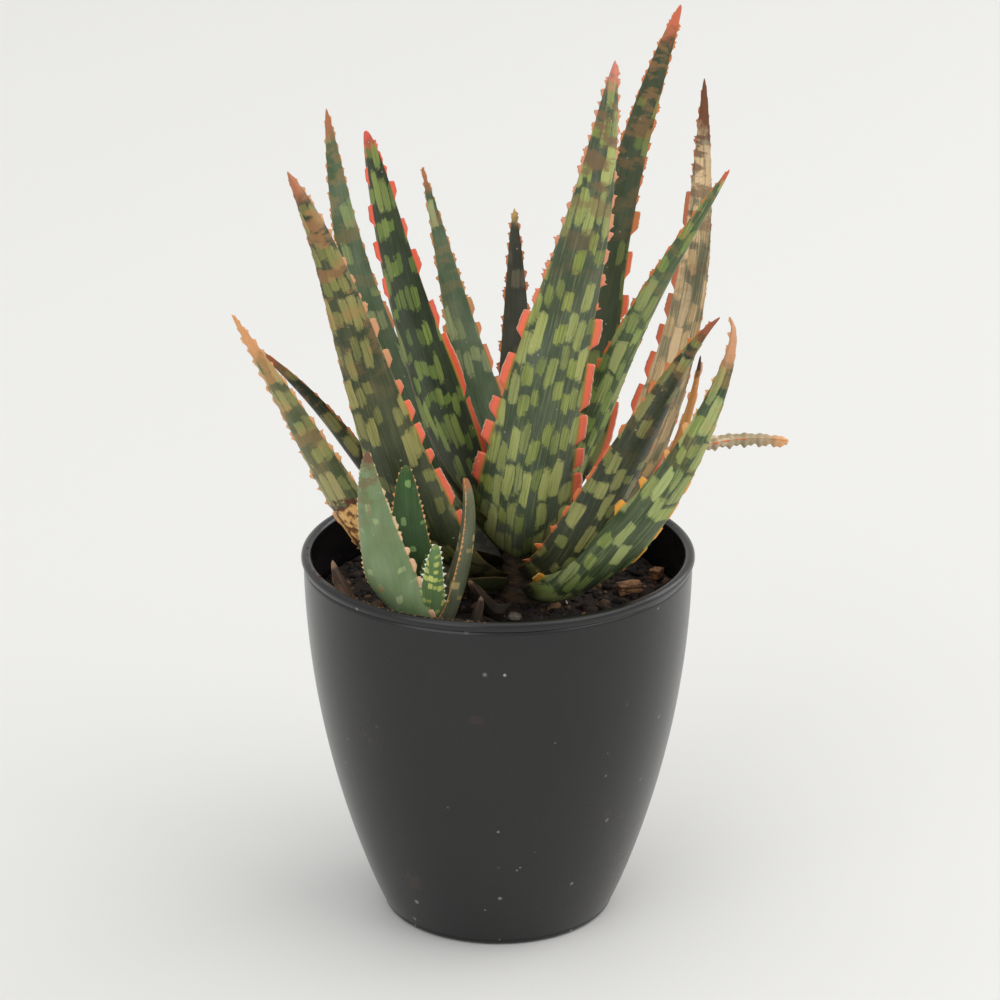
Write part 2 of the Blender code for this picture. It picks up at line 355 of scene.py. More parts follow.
class Effects:
    """The shader node groups that several finishes share."""

    def __init__(self) -> None:
        """Builds each group once."""
        self.blotches = self._blotches()
        self.fibres = self._fibres()
        self.specks = self._specks()
        self.patches = self._patches()

    @staticmethod
    def _blotches() -> bpy.types.NodeTree:
        """Oblong blotches of uneven length in rows along a leaf, which run together where they meet.

        Returns:
            The group. Mask is a blotch's strength, and Draw its random number.
        """
        graph, take, give = shader_group(
            "oblong_blotches",
            {"Map": "Vector", **dict.fromkeys(("Pitch", "Length", "Reach", "Fill", "Stagger"), "Float")},
            {"Mask": "Float", "Draw": "Float"},
        )
        sway = graph.noise(graph.spread(take("Map"), (0.09, 0.05, 1.0)), 1.0, 2.0)
        split = graph.node("ShaderNodeSeparateXYZ")
        graph.feed(split.inputs[0], take("Map"))
        across = graph.math("MULTIPLY_ADD", graph.math("SUBTRACT", sway, 0.5), 3.4, split.outputs[0])
        rows = graph.math("DIVIDE", across, take("Pitch"))
        row = graph.math("FLOOR", rows)
        offset = graph.math("ABSOLUTE", graph.math("SUBTRACT", graph.math("FRACT", rows), 0.5))
        jump = graph.node("ShaderNodeTexWhiteNoise", noise_dimensions="1D")
        graph.feed(jump.inputs["W"], row)
        along = graph.math("DIVIDE", split.outputs[1], take("Length"))
        along = graph.math("MULTIPLY_ADD", jump.outputs[0], take("Stagger"), along)
        along = graph.math("MULTIPLY_ADD", sway, 1.3, along)
        band = graph.math("FLOOR", along)
        pair = graph.node("ShaderNodeCombineXYZ")
        graph.feed(pair.inputs[0], row)
        graph.feed(pair.inputs[1], band)
        chance = graph.node("ShaderNodeTexWhiteNoise", noise_dimensions="3D")
        graph.feed(chance.inputs["Vector"], pair.outputs[0])
        draws = graph.node("ShaderNodeSeparateColor")
        graph.feed(draws.inputs[0], chance.outputs["Color"])
        share = graph.math("MULTIPLY_ADD", draws.outputs[0], 0.9, 0.5)
        reach = graph.math("MULTIPLY", share, take("Reach"))
        middle = graph.math("MULTIPLY_ADD", draws.outputs[1], 0.16, 0.42)
        away = graph.math("ABSOLUTE", graph.math("SUBTRACT", graph.math("FRACT", along), middle))
        ragged = graph.math("SUBTRACT", graph.noise(take("Map"), 0.9, 3.0), 0.5)
        ends = graph.math("DIVIDE", graph.math("MULTIPLY_ADD", ragged, 0.3, away), reach)
        width = graph.math("MULTIPLY_ADD", draws.outputs[2], 0.2, 0.38)
        side = graph.math("DIVIDE", graph.math("MULTIPLY_ADD", ragged, 0.22, offset), width)
        body = graph.math("ADD", graph.math("POWER", ends, 4.0), graph.math("POWER", side, 4.0))
        grown = graph.math("GREATER_THAN", graph.math("ADD", draws.outputs[1], take("Fill")), 1.0)
        dim = graph.math("MULTIPLY_ADD", draws.outputs[2], 0.45, 0.55)
        spot = graph.math("MULTIPLY", graph.fit(body, 1.9, 0.25), graph.math("MULTIPLY", grown, dim))
        give("Mask", spot)
        give("Draw", draws.outputs[0])
        return graph.tree

    @staticmethod
    def _fibres() -> bpy.types.NodeTree:
        """Fine veins that run along a leaf.

        Returns:
            The group, whose Value is high on a vein.
        """
        graph, take, give = shader_group(
            "long_fibres", {"Map": "Vector", "Width": "Float", "Length": "Float"}, {"Value": "Float"}
        )
        split = graph.node("ShaderNodeSeparateXYZ")
        graph.feed(split.inputs[0], take("Map"))
        joined = graph.node("ShaderNodeCombineXYZ")
        graph.feed(joined.inputs[0], graph.math("DIVIDE", split.outputs[0], take("Width")))
        graph.feed(joined.inputs[1], graph.math("DIVIDE", split.outputs[1], take("Length")))
        graph.feed(joined.inputs[2], split.outputs[2])
        give("Value", graph.noise(joined.outputs[0], 1.0, 3.0, 0.6))
        return graph.tree

    @staticmethod
    def _specks() -> bpy.types.NodeTree:
        """Small specks of dust or lime, here and there.

        Returns:
            The group, whose Mask is 1 on a speck.
        """
        graph, take, give = shader_group(
            "scattered_specks",
            {"Place": "Vector", **dict.fromkeys(("Scale", "Size", "Share"), "Float")},
            {"Mask": "Float"},
        )
        cells = graph.node("ShaderNodeTexVoronoi")
        graph.feed(cells.inputs["Vector"], take("Place"))
        graph.feed(cells.inputs["Scale"], take("Scale"))
        chance = graph.node("ShaderNodeSeparateColor")
        graph.feed(chance.inputs[0], cells.outputs["Color"])
        kept = graph.math("LESS_THAN", chance.outputs[0], take("Share"))
        size = graph.math("MULTIPLY", take("Size"), graph.math("MULTIPLY_ADD", chance.outputs[1], 0.8, 0.3))
        dot = graph.fit(cells.outputs["Distance"], size, graph.math("MULTIPLY", size, 0.5))
        give("Mask", graph.math("MULTIPLY", dot, kept))
        return graph.tree

    @staticmethod
    def _patches() -> bpy.types.NodeTree:
        """Soft, uneven patches, such as stains, bloom and dried skin.

        Returns:
            The group, whose Mask is 1 inside a patch.
        """
        graph, take, give = shader_group(
            "soft_patches",
            {"Place": "Vector", **dict.fromkeys(("Scale", "Level", "Softness"), "Float")},
            {"Mask": "Float"},
        )
        value = graph.noise(take("Place"), take("Scale"), 4.0, 0.6)
        give("Mask", graph.fit(value, take("Level"), graph.math("ADD", take("Level"), take("Softness"))))
        return graph.tree


@dataclass(frozen=True)
class LeafFinish:
    """How a leaf is coloured: its skin, its blotches, its margin and its tip."""

    name: str
    slot: str = "leaf"
    dark: Colour = srgb(70, 76, 54)
    deep: Colour = srgb(88, 90, 68)
    blotch: Colour = srgb(124, 130, 72)
    pale: Colour = srgb(158, 158, 102)
    fill: float = 0.85            # share of the places that hold a blotch
    pitch: float = 2.7            # distance between rows of blotches, across the leaf
    length: float = 11.0          # distance between blotches along a row
    reach: float = 0.28           # half a blotch's length, as a share of that distance
    stagger: float = 0.4          # how far neighbouring rows are out of step, as a share of that distance
    streak: float = 0.3
    inner: Colour = srgb(170, 128, 52)
    margin: Colour = srgb(238, 112, 84)
    rim: Colour = srgb(248, 192, 162)
    spine: Colour = srgb(206, 150, 110)
    edge: Colour = srgb(150, 132, 84)
    tip: Colour = srgb(176, 112, 80)
    tip_from: float = 0.94
    band: Colour = srgb(190, 140, 96)
    banded: float = 0.0           # strength of the tanned bands near the tip
    bloom: float = 0.06
    foot_shade_and_grime: float = 0.85          # strength of the dark foot, which is painted shade and partly dirt
    foot_shade_and_grime_to: float = 14.0       # how far up the leaf it reaches
    warm: Colour = srgb(204, 156, 96)
    warmth: float = 0.0           # share of the skin that is tanned or dried
    scar: float = -1.0            # place along the leaf of a dried patch
    roughness: float = 0.42

    def build(self, effects: Effects) -> bpy.types.Material:
        """Makes the material.

        Args:
            effects: The shared node groups.

        Returns:
            The material.
        """
        made, graph, shader = new_material(self.name)
        skin = graph.grain_map()
        share, fin, edge = (graph.attribute(name) for name in ("share", "fin", "edge"))
        fibre = graph.group(effects.fibres, Map=skin, Width=0.5, Length=16.0)["Value"]
        broad = graph.noise(graph.spread(skin, (0.16, 0.07, 1.0)), 1.0, 2.0)
        colour = self._skin(effects, graph, skin, fibre, broad)
        colour, haze = self._weather(effects, graph, skin, share, colour)
        colour = self._ends(graph, skin, share, colour)
        line = graph.fit(edge, 0.3, 0.85)
        colour = graph.mix(graph.math("MULTIPLY", line, 0.6), colour, self.edge)
        colour = graph.mix(graph.fit(fin, 0.05, 0.3), colour, self._teeth(graph, skin, share, fin))
        colour = self._shade_grime_and_dust(effects, graph, skin, broad, colour)
        graph.feed(shader.inputs["Base Color"], colour)
        gloss = graph.math("MULTIPLY_ADD", broad, 0.18, self.roughness - 0.09)
        graph.feed(shader.inputs["Roughness"], graph.math("MULTIPLY_ADD", haze, 0.4, gloss))
        shader.inputs["Specular IOR Level"].default_value = 0.26
        shader.inputs["Subsurface Weight"].default_value = 0.12
        shader.inputs["Subsurface Radius"].default_value = (1.0, 0.55, 0.25)
        shader.inputs["Subsurface Scale"].default_value = 1.2 * MM
        pores = graph.math("MULTIPLY", graph.noise(skin, 2.2, 3.0), 0.5)
        relief = graph.math("MULTIPLY_ADD", fibre, 0.7, pores)
        graph.feed(shader.inputs["Normal"], graph.bump(relief, SKIN_RELIEF * MM))
        return made

    def _skin(
        self, effects: Effects, graph: Graph, skin: Socket, fibre: Socket, broad: Socket
    ) -> Socket:
        """The ground colour with its blotches and veins.

        Args:
            effects: The shared node groups.
            graph: The material's graph.
            skin: The leaf's own map.
            fibre: The veins' value.
            broad: A slow change over the leaf.

        Returns:
            The colour.
        """
        blotches = graph.group(
            effects.blotches, Map=skin, Pitch=self.pitch, Length=self.length, Reach=self.reach,
            Fill=self.fill, Stagger=self.stagger,
        )
        ground = graph.mix(graph.fit(broad, 0.35, 0.65), self.dark, self.deep)
        fresh = graph.math("MULTIPLY_ADD", blotches["Draw"], 0.5, graph.math("SUBTRACT", fibre, 0.25))
        light = graph.mix(graph.fit(fresh, 0.25, 0.75), self.blotch, self.pale)
        colour = graph.mix(blotches["Mask"], ground, light)
        veins = graph.math("MULTIPLY", graph.fit(fibre, 0.48, 0.72), self.streak)
        colour = graph.mix(veins, colour, self.pale)
        shade = graph.math("MULTIPLY", graph.fit(fibre, 0.5, 0.28), 0.3)
        return graph.mix(shade, colour, tuple(value * 0.45 for value in self.dark))

    def _weather(
        self, effects: Effects, graph: Graph, skin: Socket, share: Socket, colour: Socket
    ) -> tuple[Socket, Socket]:
        """A grey bloom, and the tanned or dried places.

        Args:
            effects: The shared node groups.
            graph: The material's graph.
            skin: The leaf's own map.
            share: How far along the leaf the surface is, 0 to 1.
            colour: The colour so far.

        Returns:
            The colour, and how strong the bloom is.
        """
        loose = graph.spread(skin, (0.1, 0.05, 1.0))
        haze = graph.group(effects.patches, Place=loose, Scale=1.0, Level=0.35, Softness=0.4)["Mask"]
        haze = graph.math("MULTIPLY", haze, self.bloom)
        colour = graph.mix(haze, colour, BLOOM)
        if self.warmth:
            place = graph.spread(skin, (0.24, 0.13, 1.0), (7.0, 3.0, 0.0))
            dry = graph.group(
                effects.patches, Place=place, Scale=1.0, Level=0.7 - 0.34 * self.warmth, Softness=0.09
            )["Mask"]
            colour = graph.mix(dry, colour, self.warm)
        if self.scar > 0.0:
            wander = graph.math("MULTIPLY_ADD", graph.noise(skin, 0.35, 3.0), 0.09, share)
            away = graph.math("ABSOLUTE", graph.math("SUBTRACT", wander, self.scar + 0.045))
            char = graph.mix(graph.fit(graph.noise(skin, 0.4, 3.0), 0.45, 0.6), self.warm, CHAR)
            colour = graph.mix(graph.fit(away, 0.06, 0.05), colour, CHAR_RIM)
            colour = graph.mix(graph.fit(away, 0.048, 0.034), colour, char)
        return colour, haze

    def _ends(self, graph: Graph, skin: Socket, share: Socket, colour: Socket) -> Socket:
        """The tanned bands towards the tip, and the dried tip.

        Args:
            graph: The material's graph.
            skin: The leaf's own map.
            share: How far along the leaf the surface is, 0 to 1.
            colour: The colour so far.

        Returns:
            The colour.
        """
        if self.banded:
            bands = graph.noise(graph.spread(skin, (0.12, 0.2, 1.0), (3.0, 9.0, 0.0)), 1.0, 3.0, 0.6)
            there = graph.math("MULTIPLY", graph.fit(share, 0.45, 0.95), self.banded)
            banded = graph.math("MULTIPLY", graph.fit(bands, 0.47, 0.58), there)
            colour = graph.mix(banded, colour, self.band)
        frayed = graph.math("MULTIPLY_ADD", graph.noise(skin, 0.5, 3.0), 0.06, share)
        end = graph.fit(frayed, self.tip_from + 0.01, self.tip_from + 0.06)
        return graph.mix(end, colour, self.tip)

    def _teeth(self, graph: Graph, skin: Socket, share: Socket, fin: Socket) -> Socket:
        """The colour across a tooth, from the skin out to its rim.

        Args:
            graph: The material's graph.
            skin: The leaf's own map.
            share: How far along the leaf the surface is, 0 to 1.
            fin: How far out on a tooth it is, 0 to 1.

        Returns:
            The colour.
        """
        mottled = graph.math("MULTIPLY_ADD", graph.noise(skin, 0.9, 2.0), 0.12, fin)
        stops = (
            (0.1, self.inner), (0.3, self.inner), (0.46, self.margin), (0.94, self.margin), (1.03, self.rim),
        )
        aged = graph.math("MULTIPLY_ADD", graph.noise(skin, 0.16, 2.0), 0.3, share)
        return graph.mix(graph.fit(aged, 0.62, 0.8), graph.ramp(mottled, stops), self.spine)

    def _shade_grime_and_dust(
        self, effects: Effects, graph: Graph, skin: Socket, broad: Socket, colour: Socket
    ) -> Socket:
        """The dark foot, which is painted shade and partly dirt, and specks of dust all over.

        Args:
            effects: The shared node groups.
            graph: The material's graph.
            skin: The leaf's own map.
            broad: A slow change over the leaf.
            colour: The colour so far.

        Returns:
            The colour.
        """
        climb = graph.node("ShaderNodeSeparateXYZ")
        graph.feed(climb.inputs[0], skin)
        foot = graph.math("MULTIPLY_ADD", broad, -8.0, climb.outputs[1])
        # painted shade, partly also dirt: the leaf darkens towards its foot
        shaded_grimy = graph.math("MULTIPLY", graph.fit(foot, self.foot_shade_and_grime_to, 0.0), self.foot_shade_and_grime)
        colour = graph.mix(shaded_grimy, colour, SHADE_AND_GRIME)
        dust = graph.group(effects.specks, Place=graph.place(), Scale=520.0, Size=0.2, Share=0.12)
        return graph.mix(graph.math("MULTIPLY", dust["Mask"], 0.35), colour, DUST)


def new_material(name: str) -> tuple[bpy.types.Material, Graph, bpy.types.Node]:
    """Starts a material.

    Args:
        name: The material's name.

    Returns:
        The material, its graph and its Principled shader.
    """
    made = bpy.data.materials.new(name)
    made.use_nodes = True
    return made, Graph(made.node_tree), made.node_tree.nodes["Principled BSDF"]


CORAL = LeafFinish(
    "leaf_coral_margin", dark=srgb(52, 60, 36), deep=srgb(68, 74, 48), blotch=srgb(122, 126, 66),
    pale=srgb(158, 150, 88), fill=0.8, length=11.0, reach=0.34, streak=0.15, band=srgb(170, 122, 78),
    banded=0.7, foot_shade_and_grime_to=38.0, roughness=0.46,
)
TALL = LeafFinish(
    "leaf_tall", dark=srgb(58, 70, 48), deep=srgb(74, 82, 58), blotch=srgb(104, 124, 60),
    pale=srgb(136, 142, 80), fill=0.5, length=12.0, streak=0.1, spine=srgb(206, 126, 78),
    tip=srgb(206, 110, 80), band=srgb(160, 116, 74), banded=0.6,
)
GREAT = LeafFinish(
    "leaf_great", dark=srgb(62, 75, 52), deep=srgb(80, 91, 70), blotch=srgb(128, 141, 62),
    pale=srgb(174, 179, 106), fill=0.88, pitch=2.9, length=12.0, reach=0.36, stagger=1.0, streak=0.26,
    spine=srgb(214, 146, 112), tip=srgb(206, 128, 108), tip_from=0.95, band=srgb(124, 98, 70),
    banded=0.95, foot_shade_and_grime=0.6,
)
GREEN_RED = LeafFinish(
    "leaf_green_red_margin", dark=srgb(30, 42, 20), deep=srgb(44, 56, 30), blotch=srgb(94, 118, 44),
    pale=srgb(132, 146, 72), fill=0.72, length=11.0, reach=0.32, stagger=0.5, streak=0.12,
    inner=srgb(176, 140, 48), margin=srgb(236, 92, 62), spine=srgb(226, 96, 70), tip=srgb(206, 84, 66),
    tip_from=0.965, foot_shade_and_grime_to=52.0,
)
LEANING = LeafFinish(
    "leaf_leaning", dark=srgb(66, 84, 52), deep=srgb(84, 100, 70), blotch=srgb(132, 156, 76),
    pale=srgb(180, 188, 116), fill=0.85, length=11.0, reach=0.4, stagger=0.9, streak=0.4,
    inner=srgb(150, 130, 60), margin=srgb(216, 104, 54), spine=srgb(204, 116, 60),
    tip=srgb(200, 84, 60), tip_from=0.97, band=srgb(176, 136, 80), banded=0.3,
)
GLAUCOUS = LeafFinish(
    "leaf_glaucous", dark=srgb(78, 98, 68), deep=srgb(96, 114, 84), blotch=srgb(142, 158, 98),
    pale=srgb(168, 176, 126), fill=0.3, length=12.0, streak=0.1, margin=srgb(240, 146, 106),
    spine=srgb(206, 146, 96), edge=srgb(150, 146, 96), tip=srgb(176, 116, 82), band=srgb(180, 138, 94),
    banded=0.35, bloom=0.16, roughness=0.5,
)
DARK_SPINY = LeafFinish(
    "leaf_dark_spiny", dark=srgb(34, 42, 22), deep=srgb(48, 54, 32), blotch=srgb(112, 118, 58),
    pale=srgb(150, 148, 88), fill=0.7, length=9.5, reach=0.32, stagger=0.6, streak=0.16,
    inner=srgb(130, 92, 46), margin=srgb(196, 100, 54), rim=srgb(222, 150, 98),
    spine=srgb(196, 116, 62), edge=srgb(150, 96, 54), tip=srgb(150, 88, 60), tip_from=0.92,
    band=srgb(150, 112, 66), banded=0.45, foot_shade_and_grime_to=26.0,
)
MURKY = LeafFinish(
    "leaf_murky", dark=srgb(54, 56, 44), deep=srgb(68, 66, 54), blotch=srgb(86, 84, 64),
    pale=srgb(104, 98, 78), fill=0.3, streak=0.1, inner=srgb(160, 104, 66), margin=srgb(216, 120, 84),
    rim=srgb(232, 170, 130), spine=srgb(190, 122, 82), edge=srgb(126, 98, 70), tip=srgb(190, 160, 100),
    tip_from=0.96,
)
YELLOWED = LeafFinish(
    "leaf_yellowed", dark=srgb(58, 74, 46), deep=srgb(78, 90, 64), blotch=srgb(134, 150, 76),
    pale=srgb(170, 180, 114), fill=0.8, length=11.0, reach=0.38, stagger=0.8, streak=0.35,
    inner=srgb(190, 156, 60), margin=srgb(232, 158, 62), rim=srgb(248, 206, 140),
    spine=srgb(220, 160, 104), edge=srgb(166, 140, 78), tip=srgb(200, 146, 108), tip_from=0.88,
    band=srgb(186, 146, 92), banded=0.35, warmth=0.05,
)
PALE_BACK = LeafFinish(
    "leaf_pale_back", dark=srgb(112, 112, 86), deep=srgb(150, 140, 108), blotch=srgb(206, 172, 122),
    pale=srgb(240, 208, 164), fill=0.8, length=14.0, reach=0.42, stagger=0.9, streak=0.5,
    inner=srgb(216, 146, 98), spine=srgb(190, 112, 80), tip=srgb(120, 76, 52), tip_from=0.9,
    band=srgb(106, 80, 62), banded=0.9, warm=srgb(206, 150, 108), warmth=0.2,
)
TANNED = LeafFinish(
    "leaf_tanned", dark=srgb(80, 90, 58), deep=srgb(104, 106, 74), blotch=srgb(146, 150, 88),
    pale=srgb(188, 176, 116), fill=0.75, reach=0.34, streak=0.2, inner=srgb(204, 150, 82),
    margin=srgb(240, 172, 116), rim=srgb(250, 206, 160), spine=srgb(232, 166, 112),
    edge=srgb(176, 132, 82), tip=srgb(216, 156, 106), tip_from=0.88, band=srgb(206, 150, 94),
    banded=0.6, foot_shade_and_grime=0.4, warm=srgb(232, 184, 112), warmth=0.14, scar=0.42,
)
DRY = LeafFinish(
    "leaf_dry", dark=srgb(168, 152, 120), deep=srgb(204, 180, 148), blotch=srgb(234, 208, 172),
    pale=srgb(246, 226, 192), fill=0.5, pitch=1.8, length=6.0, stagger=1.0, inner=srgb(196, 120, 66),
    margin=srgb(222, 140, 84), spine=srgb(224, 126, 74), tip=srgb(224, 170, 120), foot_shade_and_grime=0.0,
    warm=srgb(170, 136, 100), warmth=0.35, roughness=0.6,
)
ORANGE = LeafFinish(
    "leaf_orange_edge", dark=srgb(196, 122, 62), deep=srgb(176, 132, 74), blotch=srgb(222, 150, 80),
    pale=srgb(228, 180, 120), fill=0.5, tip=srgb(70, 48, 38), tip_from=0.93, warmth=0.3, roughness=0.5,
)
SHOOT = LeafFinish(
    "shoot_glaucous", slot="offset_leaf", dark=srgb(106, 128, 84), deep=srgb(122, 142, 102),
    blotch=srgb(146, 160, 114), pale=srgb(158, 170, 122), fill=0.18, pitch=2.0, length=4.0, reach=0.22,
    stagger=1.0, streak=0.06, inner=srgb(206, 166, 118), margin=srgb(238, 186, 148),
    rim=srgb(248, 220, 190), spine=srgb(206, 184, 140), edge=srgb(190, 170, 122), tip=srgb(118, 84, 62),
    tip_from=0.93, band=srgb(118, 98, 66), banded=0.8, bloom=0.16, foot_shade_and_grime=0.2, warm=srgb(142, 124, 90),
    warmth=0.3, roughness=0.5,
)
SHOOT_FRESH = LeafFinish(
    "shoot_fresh", slot="offset_leaf", dark=srgb(44, 72, 34), deep=srgb(58, 88, 44),
    blotch=srgb(130, 162, 90), pale=srgb(160, 186, 118), fill=0.2, pitch=1.9, length=3.4, reach=0.3,
    stagger=1.0, streak=0.05, inner=srgb(140, 130, 62), margin=srgb(222, 160, 110),
    rim=srgb(240, 210, 176), spine=srgb(216, 160, 110), edge=srgb(176, 146, 92), tip=srgb(80, 96, 48),
    tip_from=0.97, bloom=0.04, foot_shade_and_grime=0.3, roughness=0.45,
)
SHOOT_PALE = LeafFinish(
    "shoot_pale", slot="offset_leaf", dark=srgb(84, 112, 64), deep=srgb(98, 128, 80),
    blotch=srgb(172, 186, 86), pale=srgb(206, 212, 118), fill=0.55, pitch=1.5, length=2.4, reach=0.3,
    stagger=1.0, streak=0.06, inner=srgb(186, 192, 132), margin=srgb(228, 228, 204),
    rim=srgb(244, 244, 232), spine=srgb(230, 230, 208), edge=srgb(200, 206, 158),
    tip=srgb(120, 136, 80), tip_from=0.97, bloom=0.08, foot_shade_and_grime=0.2, roughness=0.45,
)
SHOOT_BROWN = LeafFinish(
    "shoot_brown", slot="offset_leaf", dark=srgb(82, 88, 62), deep=srgb(104, 110, 84),
    blotch=srgb(168, 146, 88), pale=srgb(190, 168, 110), fill=0.2, pitch=2.0, length=3.4, stagger=1.0,
    streak=0.12, inner=srgb(206, 146, 82), margin=srgb(234, 166, 98), rim=srgb(246, 196, 144),
    spine=srgb(222, 154, 92), edge=srgb(214, 152, 92), tip=srgb(150, 104, 70), tip_from=0.92,
    bloom=0.16, foot_shade_and_grime=0.3, roughness=0.45,
)
WITHERED = LeafFinish(
    "withered_scale", slot="dry_leaf", dark=srgb(84, 64, 52), deep=srgb(64, 48, 40),
    blotch=srgb(112, 86, 68), pale=srgb(140, 110, 86), fill=0.5, pitch=1.2, length=20.0, streak=0.5,
    inner=srgb(120, 92, 70), margin=srgb(150, 116, 86), rim=srgb(170, 138, 108),
    spine=srgb(140, 108, 80), edge=srgb(136, 106, 80), tip=srgb(150, 120, 96), tip_from=0.9, bloom=0.05,
    roughness=0.75,
)
FINISHES = (
    CORAL, TALL, GREAT, GREEN_RED, LEANING, GLAUCOUS, DARK_SPINY, MURKY, YELLOWED, PALE_BACK, TANNED,
    DRY, ORANGE, SHOOT, SHOOT_FRESH, SHOOT_PALE, SHOOT_BROWN, WITHERED,
)


class Margin(Enum):
    """What grows along a leaf's edges."""

    PLATES = "long coral plates, cut square at the top"
    SPINES = "clusters of small hooked spines"
    FINE = "a row of tiny teeth"
    BARE = "a worn edge"


@dataclass(frozen=True)
class Tooth:
    """One tooth or plate, by where it starts and ends along the leaf, and its height."""

    start: float
    end: float
    height: float
    square: bool = True


@dataclass(frozen=True)
class Leaf:
    """A leaf, with the same shape values as its solid in the frame, and its finish and margins.

    near and far are where its plates start and end, along the side where the section's own axis is positive
    and the one where it is negative. A side that lists none grows what margin names.
    """

    name: str
    finish: LeafFinish
    margin: Margin
    heading: float            # its bearing from the stem, in degrees
    height: float             # how high its foot is over the soil
    rise: float               # how steeply it leaves the stem, in degrees
    reach: float              # how far it keeps to that direction
    bend: Point               # the control point before the tip, from where the stem meets the soil
    tip: Point                # its tip, from there too
    width: float
    thickness: float
    taper: float = 0.85       # power of its narrowing; a lower one keeps it wide for longer
    turn: float = 0.0         # how far its face turns from its heading, in degrees
    swell: float = 14.0       # distance over which the foot grows to the full width
    start: float = 3.0        # how far that has come where the leaf starts
    curl: float = 0.3         # depth of its channel, as a share of half its width
    teeth: float = 2.4        # height of its tall teeth
    plated: float = 0.55      # share of its length that has plates
    lead: float = 0.0         # how far the foot stands out from the stem, beyond its usual place
    pinch: float = 1.0        # how slowly the width grows from the foot
    knobs: float = 0.0        # how much its thickness swells in lumps
    calm: Span = (1.0, 1.0)   # how high its near and its far teeth are, as shares of the usual height
    near: tuple[Span, ...] = ()
    far: tuple[Span, ...] = ()


def soil_height(x: float, y: float) -> float:
    """Height of the soil's mean surface."""
    return POT_HEIGHT - SOIL_BELOW_RIM + SOIL_CROWN * max(0.0, 1.0 - (x * x + y * y) / SOIL_RADIUS**2)


def by_wall(bearing: float, from_wall: float) -> tuple[float, float]:
    """The place at a bearing round the pot and a distance from its wall."""
    distance = SOIL_RADIUS - from_wall
    return distance * cos(radians(bearing)), distance * sin(radians(bearing))


class Curve:
    """A cubic curve that is walked at an even pace."""

    def __init__(self, controls: Sequence[Point]) -> None:
        """Measures the curve.

        Args:
            controls: Its four control points, in millimetres.
        """
        self.controls = np.array(controls, float)
        fine = np.linspace(0.0, 1.0, CURVE_STEPS + 1)
        points = self._at(fine)
        walked = np.concatenate([[0.0], np.cumsum(np.linalg.norm(np.diff(points, axis=0), axis=1))])
        self.length = float(walked[-1])
        self._fine, self._walked = fine, walked / walked[-1]

    def _at(self, moment: np.ndarray) -> np.ndarray:
        """Points at the curve's own parameter.

        Args:
            moment: Parameters of 0 to 1.

        Returns:
            One point for each.
        """
        rest = 1.0 - moment
        weights = [rest**3, 3 * rest * rest * moment, 3 * rest * moment * moment, moment**3]
        return np.stack(weights, 1) @ self.controls

    def points(self, shares: np.ndarray) -> np.ndarray:
        """Points at shares of its length."""
        return self._at(np.interp(shares, self._walked, self._fine))

    def directions(self, shares: np.ndarray) -> np.ndarray:
        """Unit tangents at shares of its length.

        Args:
            shares: Shares of 0 to 1.

        Returns:
            One unit vector for each.
        """
        moment = np.interp(shares, self._walked, self._fine)[:, None]
        rest = 1.0 - moment
        first, second, third = np.diff(self.controls, axis=0)
        way = first * rest * rest + second * 2 * rest * moment + third * moment * moment
        return way / np.linalg.norm(way, axis=1, keepdims=True)


